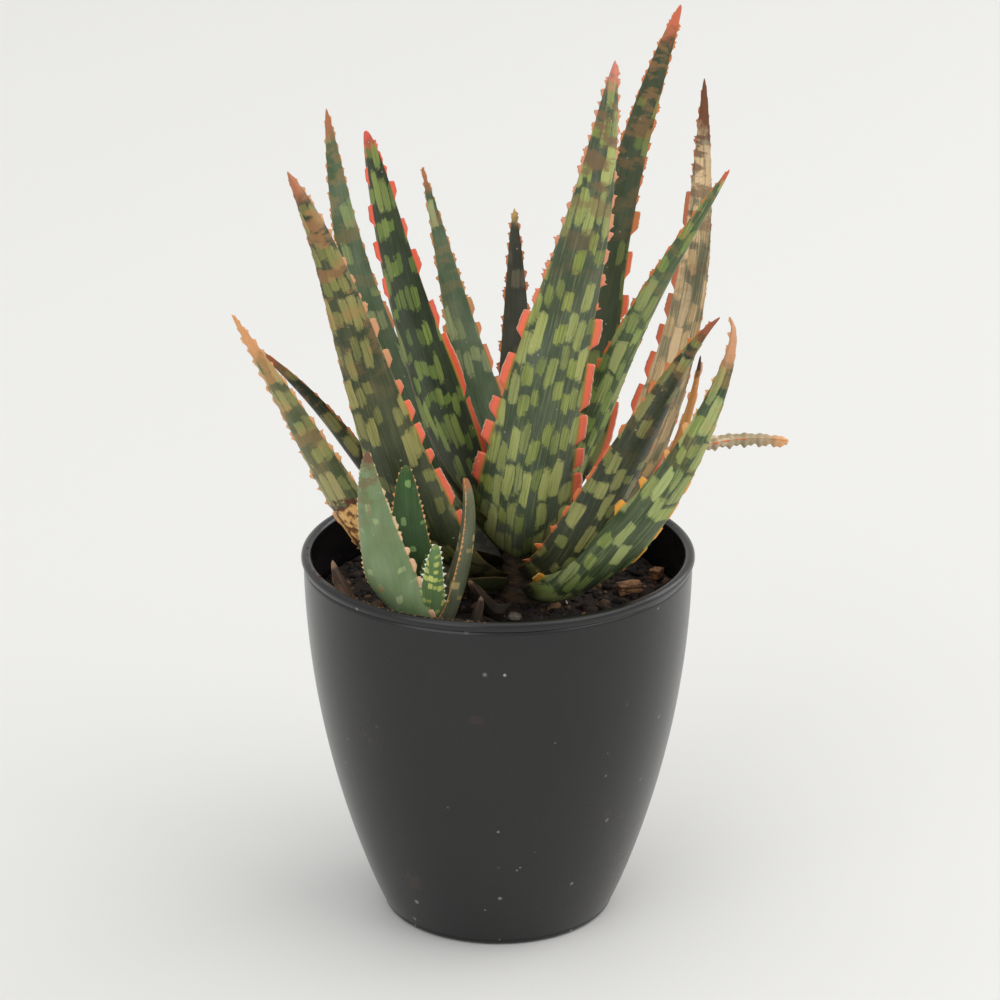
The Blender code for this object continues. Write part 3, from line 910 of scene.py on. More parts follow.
class Edge:
    """How far each side of a leaf stands out beyond its margin, along its length."""

    def __init__(self, leaf: Leaf, length: float, shares: np.ndarray, seed: int) -> None:
        """Keeps what both sides need.

        Args:
            leaf: The leaf.
            length: Its length.
            shares: Where its sections are, as shares of that length.
            seed: The leaf's own seed.
        """
        self.leaf = leaf
        self.length = length
        self.seed = seed
        self.along = shares * length

    def side(self, spans: tuple[Span, ...], number: int) -> np.ndarray:
        """Height in millimetres at each section.

        Args:
            spans: Plates that are listed, or none.
            number: Which side it is, which also seeds its random teeth.

        Returns:
            One height for each section.
        """
        rng = Random(self.seed * 2 + number)
        ragged = [rng.uniform(-1.0, 1.0) for _ in range(int(self.length / WEAR_STEP) + 3)]
        wear = np.interp(self.along / WEAR_STEP, np.arange(len(ragged)), ragged)
        height = np.zeros_like(self.along)
        for tooth in self._teeth(rng, spans):
            height = np.maximum(height, self._profile(tooth, wear))
        return height

    def _teeth(self, rng: Random, spans: tuple[Span, ...]) -> list[Tooth]:
        """Every tooth of a side, from the foot to the tip.

        Args:
            rng: The side's random numbers.
            spans: Plates that are listed, or none.

        Returns:
            The teeth.
        """
        leaf, length = self.leaf, self.length
        first, last = rng.uniform(0.09, 0.14) * length, LAST_TOOTH * length
        if leaf.margin is not Margin.PLATES and not spans:
            return self._row(rng, leaf.margin, first, last)
        if not spans:
            middle = leaf.plated * length
            plates = self._row(rng, Margin.PLATES, first, middle)
            return plates + self._row(rng, Margin.SPINES, middle, last)
        heights = [leaf.teeth * (1.05 - 0.5 * end / length) * rng.uniform(0.9, 1.1) for _, end in spans]
        plates = [Tooth(start, end, height) for (start, end), height in zip(spans, heights)]
        return plates + self._row(rng, Margin.SPINES, spans[-1][1] + 2.0, last)

    def _row(self, rng: Random, manner: Margin, at: float, end: float) -> list[Tooth]:
        """Random teeth of one kind along a stretch.

        Args:
            rng: The side's random numbers.
            manner: Their kind.
            at: Where the stretch starts, in millimetres.
            end: Where it ends.

        Returns:
            The teeth.
        """
        made: list[Tooth] = []
        teeth = self.leaf.teeth
        while at < end:
            fade = 1.0 - 0.6 * at / self.length
            if manner is Margin.PLATES:
                size, gap = rng.uniform(6.0, 13.0) * fade, rng.uniform(0.8, 2.6)
                made.append(Tooth(at, at + size, teeth * fade * rng.uniform(0.85, 1.1)))
            elif manner is Margin.SPINES:
                size, gap = rng.uniform(2.5, 8.0) * fade, rng.uniform(1.0, 6.5) * fade
                hump = teeth * fade * rng.uniform(0.15, 0.5)
                made.append(Tooth(at, at + size, hump))
                for _ in range(rng.choice((1, 2, 3, 4))):
                    low = at + rng.uniform(0.0, 0.9) * size
                    spike = hump + teeth * fade * rng.uniform(0.15, 0.6)
                    made.append(Tooth(low, low + rng.uniform(1.0, 1.9), spike, False))
            elif manner is Margin.FINE:
                size, gap = rng.uniform(0.8, 1.7), rng.uniform(0.0, 0.9)
                made.append(Tooth(at, at + size, teeth * rng.uniform(0.35, 1.2), False))
            else:
                size, gap = rng.uniform(2.0, 6.0), rng.uniform(2.0, 7.0)
                made.append(Tooth(at, at + size, teeth * rng.uniform(0.1, 0.35)))
            at += size + gap
        return made

    def _profile(self, tooth: Tooth, wear: np.ndarray) -> np.ndarray:
        """One tooth: a plate with a sloped foot and a square head, or a hooked spine.

        Args:
            tooth: The tooth.
            wear: The margin's roughness at each section.

        Returns:
            Its height at each section.
        """
        span = tooth.end - tooth.start
        place = (self.along - tooth.start) / span
        inside = (place > 0.0) & (place < 1.0)
        if tooth.square:
            slope, cut = min(0.45, 2.2 / span), min(0.3, 0.45 / span)
            shape = np.minimum(ease(place / slope), ease((1.0 - place) / cut))
            shape = shape * (1.0 - 0.35 * (place - 0.5) ** 2) * (1.0 + 0.07 * wear)
        else:
            rise = np.clip(place / SPINE_PEAK, 0, 1) ** 1.6
            fall = np.clip((1.0 - place) / (1.0 - SPINE_PEAK), 0, 1)
            shape = np.where(place < SPINE_PEAK, rise, fall)
        return np.where(inside, tooth.height * np.maximum(shape, 0.0), 0.0)


def tube(sides: int, rows: int) -> bmesh.types.BMesh:
    """A unit tube about Z from -0.5 to 0.5, in even rows, closed to a point at the top.

    Args:
        sides: Points round it.
        rows: Rows along it.

    Returns:
        The tube.
    """
    shape = bmesh.new()
    bmesh.ops.create_cone(shape, cap_ends=True, segments=sides, radius1=1.0, radius2=1.0, depth=1.0)
    upright = [edge for edge in shape.edges if abs(edge.verts[0].co.z - edge.verts[1].co.z) > 0.5]
    bmesh.ops.subdivide_edges(shape, edges=upright, cuts=rows - 1, use_grid_fill=True)
    top = [vert for vert in shape.verts if vert.co.z > CAP_HEIGHT]
    bmesh.ops.pointmerge(shape, verts=top, merge_co=(0.0, 0.0, 0.5))
    return shape


def mesh_of(shape: bmesh.types.BMesh, name: str) -> bpy.types.Mesh:
    """Writes a bmesh to a new mesh, and frees it.

    Args:
        shape: The bmesh.
        name: The mesh's name.

    Returns:
        The mesh.
    """
    mesh = bpy.data.meshes.new(name)
    shape.to_mesh(mesh)
    shape.free()
    return mesh


def write_values(mesh: bpy.types.Mesh, name: str, values: np.ndarray) -> None:
    """Gives a mesh one number for each of its points."""
    made = mesh.attributes.new(name, "FLOAT", "POINT")
    made.data.foreach_set("value", values.astype(np.float32))


def show(
    mesh: bpy.types.Mesh, name: str, material: bpy.types.Material, slot: str, *nodes: str
) -> None:
    """Puts a finished piece in the scene.

    Args:
        mesh: Its mesh, in place.
        name: The piece's name.
        material: Its material.
        slot: Its material slot's name; not used.
        nodes: The solids that it stands for.
    """
    mesh.materials.append(material)
    mesh.shade_smooth()
    made = bpy.data.objects.new(name, mesh)
    bpy.context.scene.collection.objects.link(made)
    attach(made, BODY)
    if nodes:
        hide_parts(*nodes)
    LOG.info("%s: %d faces", name, len(mesh.polygons))


@dataclass
class Blade:
    """The fine mesh of one leaf along its curve."""

    leaf: Leaf
    curve: Curve
    seed: int
    rows: int = field(init=False)

    def __post_init__(self) -> None:
        """Sets the number of rows from the length."""
        self.rows = max(LEAST_ROWS, int(self.curve.length / ROW_STEP))

    def build(self) -> bpy.types.Mesh:
        """Lays a tube along the curve as a leaf with its teeth.

        Returns:
            The mesh, with its map and its share, fin and edge values.
        """
        mesh = mesh_of(tube(SIDES, self.rows), self.leaf.name)
        unit = np.empty(len(mesh.vertices) * 3, np.float32)
        mesh.vertices.foreach_get("co", unit)
        unit = unit.reshape(-1, 3).astype(float)
        row = np.rint((unit[:, 2] + 0.5) * self.rows).astype(int)
        placed, share, fin, edge, uv = self._place(unit, row)
        mesh.vertices.foreach_set("co", (placed * MM).astype(np.float32).ravel())
        for name, values in (("share", share), ("fin", fin), ("edge", edge)):
            write_values(mesh, name, values)
        corner = np.empty(len(mesh.loops), np.int32)
        mesh.loops.foreach_get("vertex_index", corner)
        layer = mesh.uv_layers.new(name=GRAIN_MAP)
        layer.data.foreach_set("uv", uv[corner].astype(np.float32).ravel())
        mesh.update()
        shape = bmesh.new()
        shape.from_mesh(mesh)
        bmesh.ops.recalc_face_normals(shape, faces=shape.faces)
        shape.to_mesh(mesh)
        shape.free()
        return mesh

    def _place(self, unit: np.ndarray, row: np.ndarray) -> tuple[np.ndarray, ...]:
        """Works out where each point of the unit tube goes.

        Args:
            unit: The tube's points.
            row: The row that each is in.

        Returns:
            The points in millimetres, and each one's share along the leaf, its fin and edge
            values, and its map.
        """
        leaf, length = self.leaf, self.curve.length
        shares = np.linspace(0.0, 1.0, self.rows + 1)
        centre, along = self.curve.points(shares), self.curve.directions(shares)
        facing = np.radians(leaf.heading + leaf.turn * ease(shares / TURN_SHARE))
        across = np.stack([-np.sin(facing), np.cos(facing), np.zeros_like(facing)], 1)
        across -= along * np.sum(across * along, 1, keepdims=True)
        across /= np.linalg.norm(across, axis=1, keepdims=True)
        outward = np.cross(across, along)
        centre = centre + self._sway(across, outward, shares)
        swollen = np.clip((shares * length + leaf.start) / leaf.swell, 0.0, 1.0)
        base = np.sqrt(1.0 - (1.0 - swollen) ** 2) ** leaf.pinch
        body = (1.0 - shares) ** leaf.taper + TIP_FULLNESS * shares * (1.0 - shares) ** 0.35
        half = leaf.width * body * base / 2
        thick = leaf.thickness * np.sqrt(body) * base
        lumps = np.sin(shares * length * 0.7) * np.sin(shares * length * 1.9 + 1.0)
        thick = thick * (1.0 + leaf.knobs * lumps)
        half = half * (1.0 + 0.6 * leaf.knobs * lumps)
        curl = half * leaf.curl * (1.0 + 1.2 * ease(1.0 - shares / 0.25))
        edges = Edge(leaf, length, shares, self.seed)
        plus = edges.side(leaf.near, 0) * leaf.calm[0]
        minus = edges.side(leaf.far, 1) * leaf.calm[1]

        x, y = unit[:, 0], unit[:, 1]
        bearing = np.abs(np.arctan2(y, x))
        steps = np.minimum(bearing, pi - bearing) / (tau / SIDES)
        steps = np.where((x * x + y * y) < 0.5, NO_RING, steps)
        reach = np.interp(steps, *TOOTH_RINGS)
        proud = np.where(x > 0.0, plus[row], minus[row])
        lens = np.clip(1.0 - x * x, 0.0, 1.0)
        outside = thick[row] * (1.0 - INNER_SHARE) * lens**0.8
        inside = -thick[row] * INNER_SHARE * lens
        depth = np.where(y > 0.0, outside, inside) - curl[row] * x * x
        flap = TOOTH_WAVE * np.sin(shares * length / 5.0 + self.seed)[row] * proud * reach
        side = x * half[row] + np.sign(x) * proud * reach
        placed = centre[row] + across[row] * side[:, None] + outward[row] * (depth + flap)[:, None]
        placed += along[row] * (TOOTH_LEAN * proud * reach)[:, None]
        uv = np.stack([x * half[row] + MAP_SPACING * self.seed, shares[row] * length], 1)
        fin = reach * ease(proud / FULL_FIN)
        return placed, shares[row], fin, reach, uv

    def _sway(self, across: np.ndarray, outward: np.ndarray, shares: np.ndarray) -> np.ndarray:
        """A slight unevenness in how the leaf grew.

        Args:
            across: Each section's direction across the leaf.
            outward: Each section's outward direction.
            shares: Where the sections are.

        Returns:
            Each section's shift, in millimetres.
        """
        held = (shares * (1.0 - shares) * 4.0)[:, None]
        one = np.sin(shares * self.curve.length / 17.0 + self.seed * 1.7)[:, None]
        two = np.sin(shares * self.curve.length / 23.0 + self.seed * 2.9)[:, None]
        return held * (across * one * SWAY_ACROSS + outward * two * SWAY_OUTWARD)


ROSETTE = (
    Leaf(
        "leaf_01_outer_left_low", TANNED, Margin.SPINES, heading=188, height=5, rise=3, reach=40,
        bend=(-38, -8, 8), tip=(-87, 12, 87), width=20, thickness=4.0, taper=0.82, turn=62,
    ),
    Leaf(
        "leaf_02_left_dark", DARK_SPINY, Margin.SPINES, heading=160, height=11, rise=6, reach=44,
        bend=(-43, 14, 42), tip=(-80, 26, 71), width=18, thickness=3.0, taper=0.62, turn=60,
    ),
    Leaf(
        "leaf_03_left_front", CORAL, Margin.PLATES, heading=212, height=8, rise=12, reach=46,
        bend=(-36, -18, 76), tip=(-68, -14, 139), width=25, thickness=5.0, taper=0.72, turn=60,
        swell=45, plated=0.3, pinch=2.2, calm=(1.0, 0.3),
        near=((24, 38), (40, 53), (55, 60), (62, 69), (70, 77), (79, 84), (88, 94), (98, 104)),
        far=((30, 38),),
    ),
    Leaf(
        "leaf_04_back_left_outer", GLAUCOUS, Margin.PLATES, heading=120, height=4, rise=4, reach=28,
        bend=(-49, 30, 57), tip=(-59, 44, 142), width=20, thickness=4.5, taper=0.72, turn=-30,
        teeth=1.6, plated=0.6,
    ),
    Leaf(
        "leaf_05_left_red_margin", GREEN_RED, Margin.PLATES, heading=176, height=14, rise=50, reach=24,
        bend=(-34, 10, 75), tip=(-46, 12, 144), width=26, thickness=5.0, taper=0.56, turn=-35, swell=40,
        teeth=3.0, plated=0.7, pinch=2.0, near=((88, 95), (99, 106), (110, 117), (122, 128)),
        far=((20, 49), (50, 71), (73, 82), (91, 99), (103, 109), (115, 121)),
    ),
    Leaf(
        "leaf_06_inner_left", GLAUCOUS, Margin.PLATES, heading=100, height=17, rise=41, reach=11,
        bend=(-17, 34, 70), tip=(-30, 39, 125), width=19, thickness=4.0, taper=0.95, turn=-16, swell=20,
        teeth=2.0, plated=0.6,
    ),
    Leaf(
        "leaf_07_back_centre", MURKY, Margin.SPINES, heading=92, height=10, rise=46, reach=12,
        bend=(-2, 32, 60), tip=(-2, 46, 110), width=17, thickness=4.0, taper=0.73,
    ),
    Leaf(
        "leaf_08_great_front", GREAT, Margin.PLATES, heading=264, height=18, rise=76, reach=32,
        bend=(21, -19, 118), tip=(27, -2, 169), width=31, thickness=7.0, taper=0.78, turn=5, swell=10,
        start=1.2, curl=0.36, teeth=3.1, lead=5.0,
        near=((16, 28), (29, 37), (38, 48), (49, 65), (69, 79)),
        far=((17, 29), (32, 40), (41, 48), (51, 63), (68, 77)),
    ),
    Leaf(
        "leaf_09_tallest", TALL, Margin.PLATES, heading=46, height=21, rise=25, reach=46,
        bend=(11, 22, 88), tip=(47, 24, 179), width=19, thickness=5.0, taper=0.58, turn=62, swell=26,
        teeth=2.4, plated=0.3, far=((24, 47), (49, 60), (72, 80), (85, 94), (99, 107)),
    ),
    Leaf(
        "leaf_10_back_right", PALE_BACK, Margin.PLATES, heading=20, height=9, rise=10, reach=35,
        bend=(57, 30, 74), tip=(55, 38, 153), width=18, thickness=4.5, taper=0.72, turn=60, teeth=2.2,
        plated=0.3, calm=(1.0, 0.3),
        near=((60, 70), (72, 81), (83, 90), (92, 100), (101, 110), (120, 132)),
    ),
    Leaf(
        "leaf_11_right_leaning", LEANING, Margin.SPINES, heading=353, height=12, rise=68, reach=17,
        bend=(26, 8, 75), tip=(61, 2, 135), width=17, thickness=4.2, taper=0.74, turn=-58, teeth=2.2,
        calm=(0.4, 1.0),
    ),
    Leaf(
        "leaf_12_front_right_dark", DARK_SPINY, Margin.SPINES, heading=294, height=9, rise=12, reach=44,
        bend=(38, -12, 76), tip=(58, -18, 96), width=23, thickness=5.0, taper=0.87, turn=-12, swell=36,
        teeth=3.2, pinch=1.7, calm=(0.25, 1.0),
    ),
    Leaf(
        "leaf_13_front_right_outer", YELLOWED, Margin.PLATES, heading=306, height=3, rise=6, reach=36,
        bend=(68, -46, 92), tip=(60, -30, 100), width=20.5, thickness=5.0, taper=0.88, turn=-55,
        swell=26, teeth=2.6, pinch=1.5, calm=(0.2, 1.0),
        far=((13, 19), (23, 30), (36, 43), (50, 56), (63, 67), (76, 79), (86, 90)),
    ),
    Leaf(
        "leaf_14_low_right_dry", DRY, Margin.SPINES, heading=58, height=5, rise=40, reach=28,
        bend=(50, 46, 42), tip=(84, 46, 34), width=6, thickness=5.0, taper=0.26, curl=0.1, teeth=1.5,
        knobs=0.3,
    ),
    Leaf(
        "leaf_15_right_short", ORANGE, Margin.BARE, heading=358, height=5, rise=15, reach=22,
        bend=(51, 6, 36), tip=(54, 12, 74), width=7, thickness=2.6, taper=0.6, turn=-64,
    ),
    Leaf(
        "leaf_16_inner_small", GREEN_RED, Margin.FINE, heading=200, height=23, rise=75, reach=6,
        bend=(-9, 1, 44), tip=(-10, 2, 55), width=6, thickness=2.2, swell=6, teeth=0.8,
    ),
)

SHOOT_LEAVES = (
    Leaf(
        "offset_leaf_1_left", SHOOT, Margin.FINE, heading=205, height=2, rise=50, reach=8,
        bend=(-18, -1, 38), tip=(-16, -1, 61), width=21, thickness=3.0, taper=0.7, turn=50, swell=9,
        teeth=1.3, calm=(1.2, 0.45), near=((5, 9), (9.5, 15), (15.5, 19), (20, 25), (26, 29)),
    ),
    Leaf(
        "offset_leaf_2_back", SHOOT_FRESH, Margin.FINE, heading=100, height=6, rise=70, reach=6,
        bend=(-6, 5, 40), tip=(-5, 6, 54), width=16, thickness=2.6, taper=0.52, turn=0, swell=7,
        teeth=0.7,
    ),
    Leaf(
        "offset_leaf_3_front", SHOOT_PALE, Margin.FINE, heading=295, height=3, rise=60, reach=6,
        bend=(3, -8, 22), tip=(4, -7, 34), width=9.5, thickness=2.4, taper=0.5, turn=-30, swell=6,
        teeth=1.1,
    ),
    Leaf(
        "offset_leaf_4_right", SHOOT_BROWN, Margin.FINE, heading=10, height=4, rise=45, reach=7,
        bend=(15, 4, 35), tip=(12, 6, 50), width=15, thickness=6.4, taper=0.7, turn=-6, swell=8,
        curl=0.2, teeth=0.7,
    ),
    Leaf(
        "offset_leaf_5_heart", SHOOT_FRESH, Margin.FINE, heading=250, height=9, rise=75, reach=4,
        bend=(0, -3, 22), tip=(1, -2, 29), width=5, thickness=1.8, taper=0.7, turn=0, swell=5,
        teeth=0.4,
    ),
)


@dataclass
class Shoot:
    """A stem with its leaves."""

    stem: str
    axis: tuple[float, float]
    radius: float
    tip_radius: float
    height: float
    leaves: tuple[Leaf, ...]
    seed: int                 # the first leaf's; each next leaf has the next number
    buried: float = 12.0      # how much of the stem is under the soil

    def build(self, materials: dict[str, bpy.types.Material]) -> None:
        """Builds the stem and every leaf.

        Args:
            materials: The finished materials by name.
        """
        self._build_stem(materials["stem"])
        for number, leaf in enumerate(self.leaves):
            mesh = Blade(leaf, Curve(self._controls(leaf)), self.seed + number).build()
            finish = leaf.finish
            show(mesh, f"{leaf.name}_blade", materials[finish.name], finish.slot, leaf.name)

    def _radius_at(self, over_soil: float) -> float:
        """The stem's radius at a height over the soil."""
        share = min(1.0, max(0.0, over_soil / self.height))
        return self.radius + (self.tip_radius - self.radius) * share**STEM_TAPER

    def _controls(self, leaf: Leaf) -> list[Vector]:
        """The control points of a leaf's curve, which here starts inside the stem.

        Args:
            leaf: The leaf.

        Returns:
            Four points, in millimetres.
        """
        heading, rise = radians(leaf.heading), radians(leaf.rise)
        out = Vector((cos(heading), sin(heading), 0.0))
        base = Vector((*self.axis, soil_height(*self.axis)))
        apart = self._radius_at(leaf.height) * FOOT_IN_STEM + leaf.lead
        foot = base + Vector((0.0, 0.0, leaf.height)) + out * apart
        handle = foot + (out * cos(rise) + Vector((0.0, 0.0, sin(rise)))) * leaf.reach
        return [foot, handle, base + Vector(leaf.bend), base + Vector(leaf.tip)]

    def _build_stem(self, material: bpy.types.Material) -> None:
        """A ringed stem, whose rings are the scars of old leaves.

        Args:
            material: Its bark.
        """
        shape = tube(STEM_SIDES, STEM_ROWS)
        ground = soil_height(*self.axis)
        for vert in shape.verts:
            over = (vert.co.z + 0.5) * (self.height + self.buried) - self.buried
            ring = 0.35 * abs(sin(over * 1.1 + vert.co.x * 0.8)) + 0.3 * noise.noise(vert.co * 6.0)
            radius = 0.0 if vert.co.z > CAP_HEIGHT else (self._radius_at(over) + ring) * MM
            vert.co = Vector((
                self.axis[0] * MM + vert.co.x * radius,
                self.axis[1] * MM + vert.co.y * radius,
                (ground + over) * MM,
            ))
        bmesh.ops.recalc_face_normals(shape, faces=shape.faces)
        show(mesh_of(shape, self.stem), f"{self.stem}_ringed", material, "stem", self.stem)


def turned(profile: Sequence[tuple[float, float]], steps: int) -> bmesh.types.BMesh:
    """A body turned about Z from (radius, height) pairs in millimetres, whose ends lie on the axis.

    Args:
        profile: The pairs.
        steps: How many steps a full turn has.

    Returns:
        The closed body.
    """
    shape = bmesh.new()
    points = [shape.verts.new((r * MM, 0.0, z * MM)) for r, z in profile]
    for start, end in zip(points, points[1:]):
        shape.edges.new((start, end))
    bmesh.ops.spin(
        shape, geom=[*shape.verts, *shape.edges], cent=(0, 0, 0), axis=(0, 0, 1), angle=tau, steps=steps,
        use_merge=True, use_duplicate=False,
    )
    bmesh.ops.remove_doubles(shape, verts=shape.verts, dist=1e-7)
    bmesh.ops.recalc_face_normals(shape, faces=shape.faces)
    return shape


def arc(
    centre: tuple[float, float], radius: float, start: float, end: float, steps: int
) -> list[tuple[float, float]]:
    """Points of an arc, with its angles in degrees."""
    turns = [radians(start + (end - start) * k / steps) for k in range(steps + 1)]
    return [(centre[0] + radius * cos(a), centre[1] + radius * sin(a)) for a in turns]


@dataclass
class Pot:
    """The moulded pot."""

    height: float = POT_HEIGHT
    rim_radius: float = 60.0
    base_radius: float = 34.7
    corner: float = 2.0
    wall: float = 2.5
    floor: float = 3.0
    bead_height: float = 3.0
    bead_proud: float = 0.7
    swell_power: float = 0.86  # a lower one swells the wall nearer to its foot
    ring: float = 5.0         # width of the ring that it stands on
    hollow: float = 0.5       # how far the underside lies over that ring
    rows: int = 70
    steps: int = 192

    def wall_radius(self, height: float) -> float:
        """Outside radius of the wall at a height.

        Args:
            height: The height.

        Returns:
            The radius, without the bead.
        """
        share = max(0.0, height / self.height)
        top = self.rim_radius - self.bead_proud
        return self.base_radius + (top - self.base_radius) * sin(pi / 2 * share**self.swell_power)

    def build(self, material: bpy.types.Material) -> None:
        """Turns the pot: up the inside, over the bead, and down the outside.

        Args:
            material: Its plastic.
        """
        under = self.height - self.bead_height
        low = self.corner + 0.2
        shares = [k / self.rows for k in range(self.rows + 1)]
        up = [self.floor + (under - self.floor) * share for share in shares]
        down = [under - (under - low) * share for share in shares]
        inside = [(self.wall_radius(z) - self.wall, z) for z in up]
        outside = [(self.wall_radius(z), z) for z in down]
        half = (self.rim_radius - self.wall_radius(self.height) + self.wall) / 2
        bead = arc((self.rim_radius - half, self.height - half), half, 180, -8, 14)
        step = arc((self.rim_radius - 0.9, under + 0.7), 0.7, 0, -80, 4)
        corner = arc((self.wall_radius(self.corner) - self.corner, self.corner), self.corner, 0, -90, 8)
        ring = self.base_radius - self.ring
        gate = [(3.0, self.hollow), (2.4, 0.2), (0.0, 0.2)]
        foot = [(ring, 0.0), (ring - 0.6, self.hollow), *gate]
        profile = [(0.0, self.floor), (20.0, self.floor), *inside, *bead, *step, *outside, *corner, *foot]
        show(mesh_of(turned(profile, self.steps), "pot"), "pot_moulded", material, "pot_plastic", "pot")


@dataclass
class Soil:
    """The root ball with its loose grains."""

    radius: float = SOIL_RADIUS - 0.4
    bottom: float = 3.4
    rings: int = 60
    steps: int = 150
    grains: int = 1500
    crumbs: int = 60
    seed: int = 5

    def surface(self, x: float, y: float) -> float:
        """Height of the rough surface.

        Args:
            x: Its place to the right.
            y: Its place to the back.

        Returns:
            The height.
        """
        place = Vector((x, y, 0.0))
        rough = sum(height * noise.noise(place * often) for height, often in SOIL_BUMPS)
        return soil_height(x, y) + rough - SOIL_SETTLED

    def build(self, ground: bpy.types.Material, grain: bpy.types.Material) -> None:
        """Builds the ball and strews the grains.

        Args:
            ground: The ball's material.
            grain: The grains' material.
        """
        reach = [self.radius * k / self.rings for k in range(self.rings + 1)]
        edge = soil_height(self.radius, 0.0)
        pot = Pot()
        down = (edge * 0.8, edge * 0.5, edge * 0.25, self.bottom)
        side = [(pot.wall_radius(z) - pot.wall - 0.3, z) for z in down]
        profile = [*((r, soil_height(r, 0.0)) for r in reach), *side, (0.0, self.bottom)]
        shape = turned(profile, self.steps)
        for vert in shape.verts:
            if vert.co.z > (edge - 3.0) * MM:
                vert.co.z = self.surface(vert.co.x / MM, vert.co.y / MM) * MM
        show(mesh_of(shape, "soil"), "soil_ball", ground, "soil", "soil")
        show(self._strew(), "soil_grains", grain, "soil")

    def _strew(self) -> bpy.types.Mesh:
        """Strews the grains on the soil and the crumbs on the rim.

        Returns:
            One mesh of them all.
        """
        rng = Random(self.seed)
        shape = bmesh.new()
        tint = shape.verts.layers.float.new("tint")
        for _ in range(self.grains):
            self._add_grain(shape, tint, rng)
        for _ in range(self.crumbs):
            self._add_crumb(shape, tint, rng)
        return mesh_of(shape, "soil_grains")

    def _add_grain(self, shape: bmesh.types.BMesh, tint: bmesh.types.BMLayerItem, rng: Random) -> None:
        """Adds a lump of peat, bark or grit, half sunk in the surface.

        Args:
            shape: The grains so far.
            tint: The layer that holds how pale each is.
            rng: Their random numbers.
        """
        bearing = rng.uniform(0.0, tau)
        distance = self.radius * (rng.random() ** 0.5) * 0.985
        x, y = distance * cos(bearing), distance * sin(bearing)
        size = rng.uniform(0.5, 1.2) if rng.random() < 0.8 else rng.uniform(1.2, 2.3)
        spot = Vector((x, y, self.surface(x, y) + size * 0.1)) * MM
        turn = Matrix.Rotation(rng.uniform(0, tau), 4, "Z")
        turn = turn @ Matrix.Rotation(rng.uniform(-0.6, 0.6), 4, "X")
        stretch = rng.uniform(0.9, 1.8), rng.uniform(0.6, 1.1), rng.uniform(0.4, 0.8)
        points = self._add_lump(shape, size, spot, turn @ Matrix.Diagonal((*stretch, 1.0)))
        shade = rng.random() ** 2.2
        if rng.random() < GRIT_SHARE:
            shade = GRIT_TINT
        for vert in points:
            vert.co += (vert.co - spot) * rng.uniform(-0.3, 0.25)
            vert[tint] = shade

    def _add_crumb(self, shape: bmesh.types.BMesh, tint: bmesh.types.BMLayerItem, rng: Random) -> None:
        """Adds a crumb of peat on the pot's rim, near the side shoot.

        Args:
            shape: The grains so far.
            tint: The layer that holds how pale each is.
            rng: Their random numbers.
        """
        bearing = radians(rng.gauss(238.0, 24.0))
        distance, size = rng.uniform(57.6, 59.0), rng.uniform(0.18, 0.42)
        spot = Vector((distance * cos(bearing), distance * sin(bearing), POT_HEIGHT - 0.05)) * MM
        turn = Matrix.Rotation(rng.uniform(0, tau), 4, "Z")
        for vert in self._add_lump(shape, size, spot, turn @ Matrix.Diagonal((1.6, 1.0, 0.8, 1.0))):
            vert[tint] = CRUMB_TINT

    @staticmethod
    def _add_lump(
        shape: bmesh.types.BMesh, size: float, spot: Vector, turn: Matrix
    ) -> list[bmesh.types.BMVert]:
        """Adds a faceted lump.

        Args:
            shape: The grains so far.
            size: Its radius in millimetres.
            spot: Its place in metres.
            turn: How it is turned and stretched.

        Returns:
            Its points.
        """
        before = len(shape.verts)
        place = Matrix.Translation(spot) @ turn
        bmesh.ops.create_icosphere(shape, subdivisions=1, radius=size * MM, matrix=place)
        shape.verts.ensure_lookup_table()
        return shape.verts[before:]


@dataclass(frozen=True)
class Scale:
    """A withered scale of leaf in the soil, given as its solid is."""

    name: str
    foot: tuple[float, float]  # its bearing round the pot, and its distance from the wall
    tip: Point                # the same of its tip, and how high that is over the soil
    heading: float
    width: float
    thickness: float


@dataclass(frozen=True)
class Lump:
    """A chip or a stone on the soil, given as its solid is."""

    name: str
    size: Point
    turn: float
    slot: str


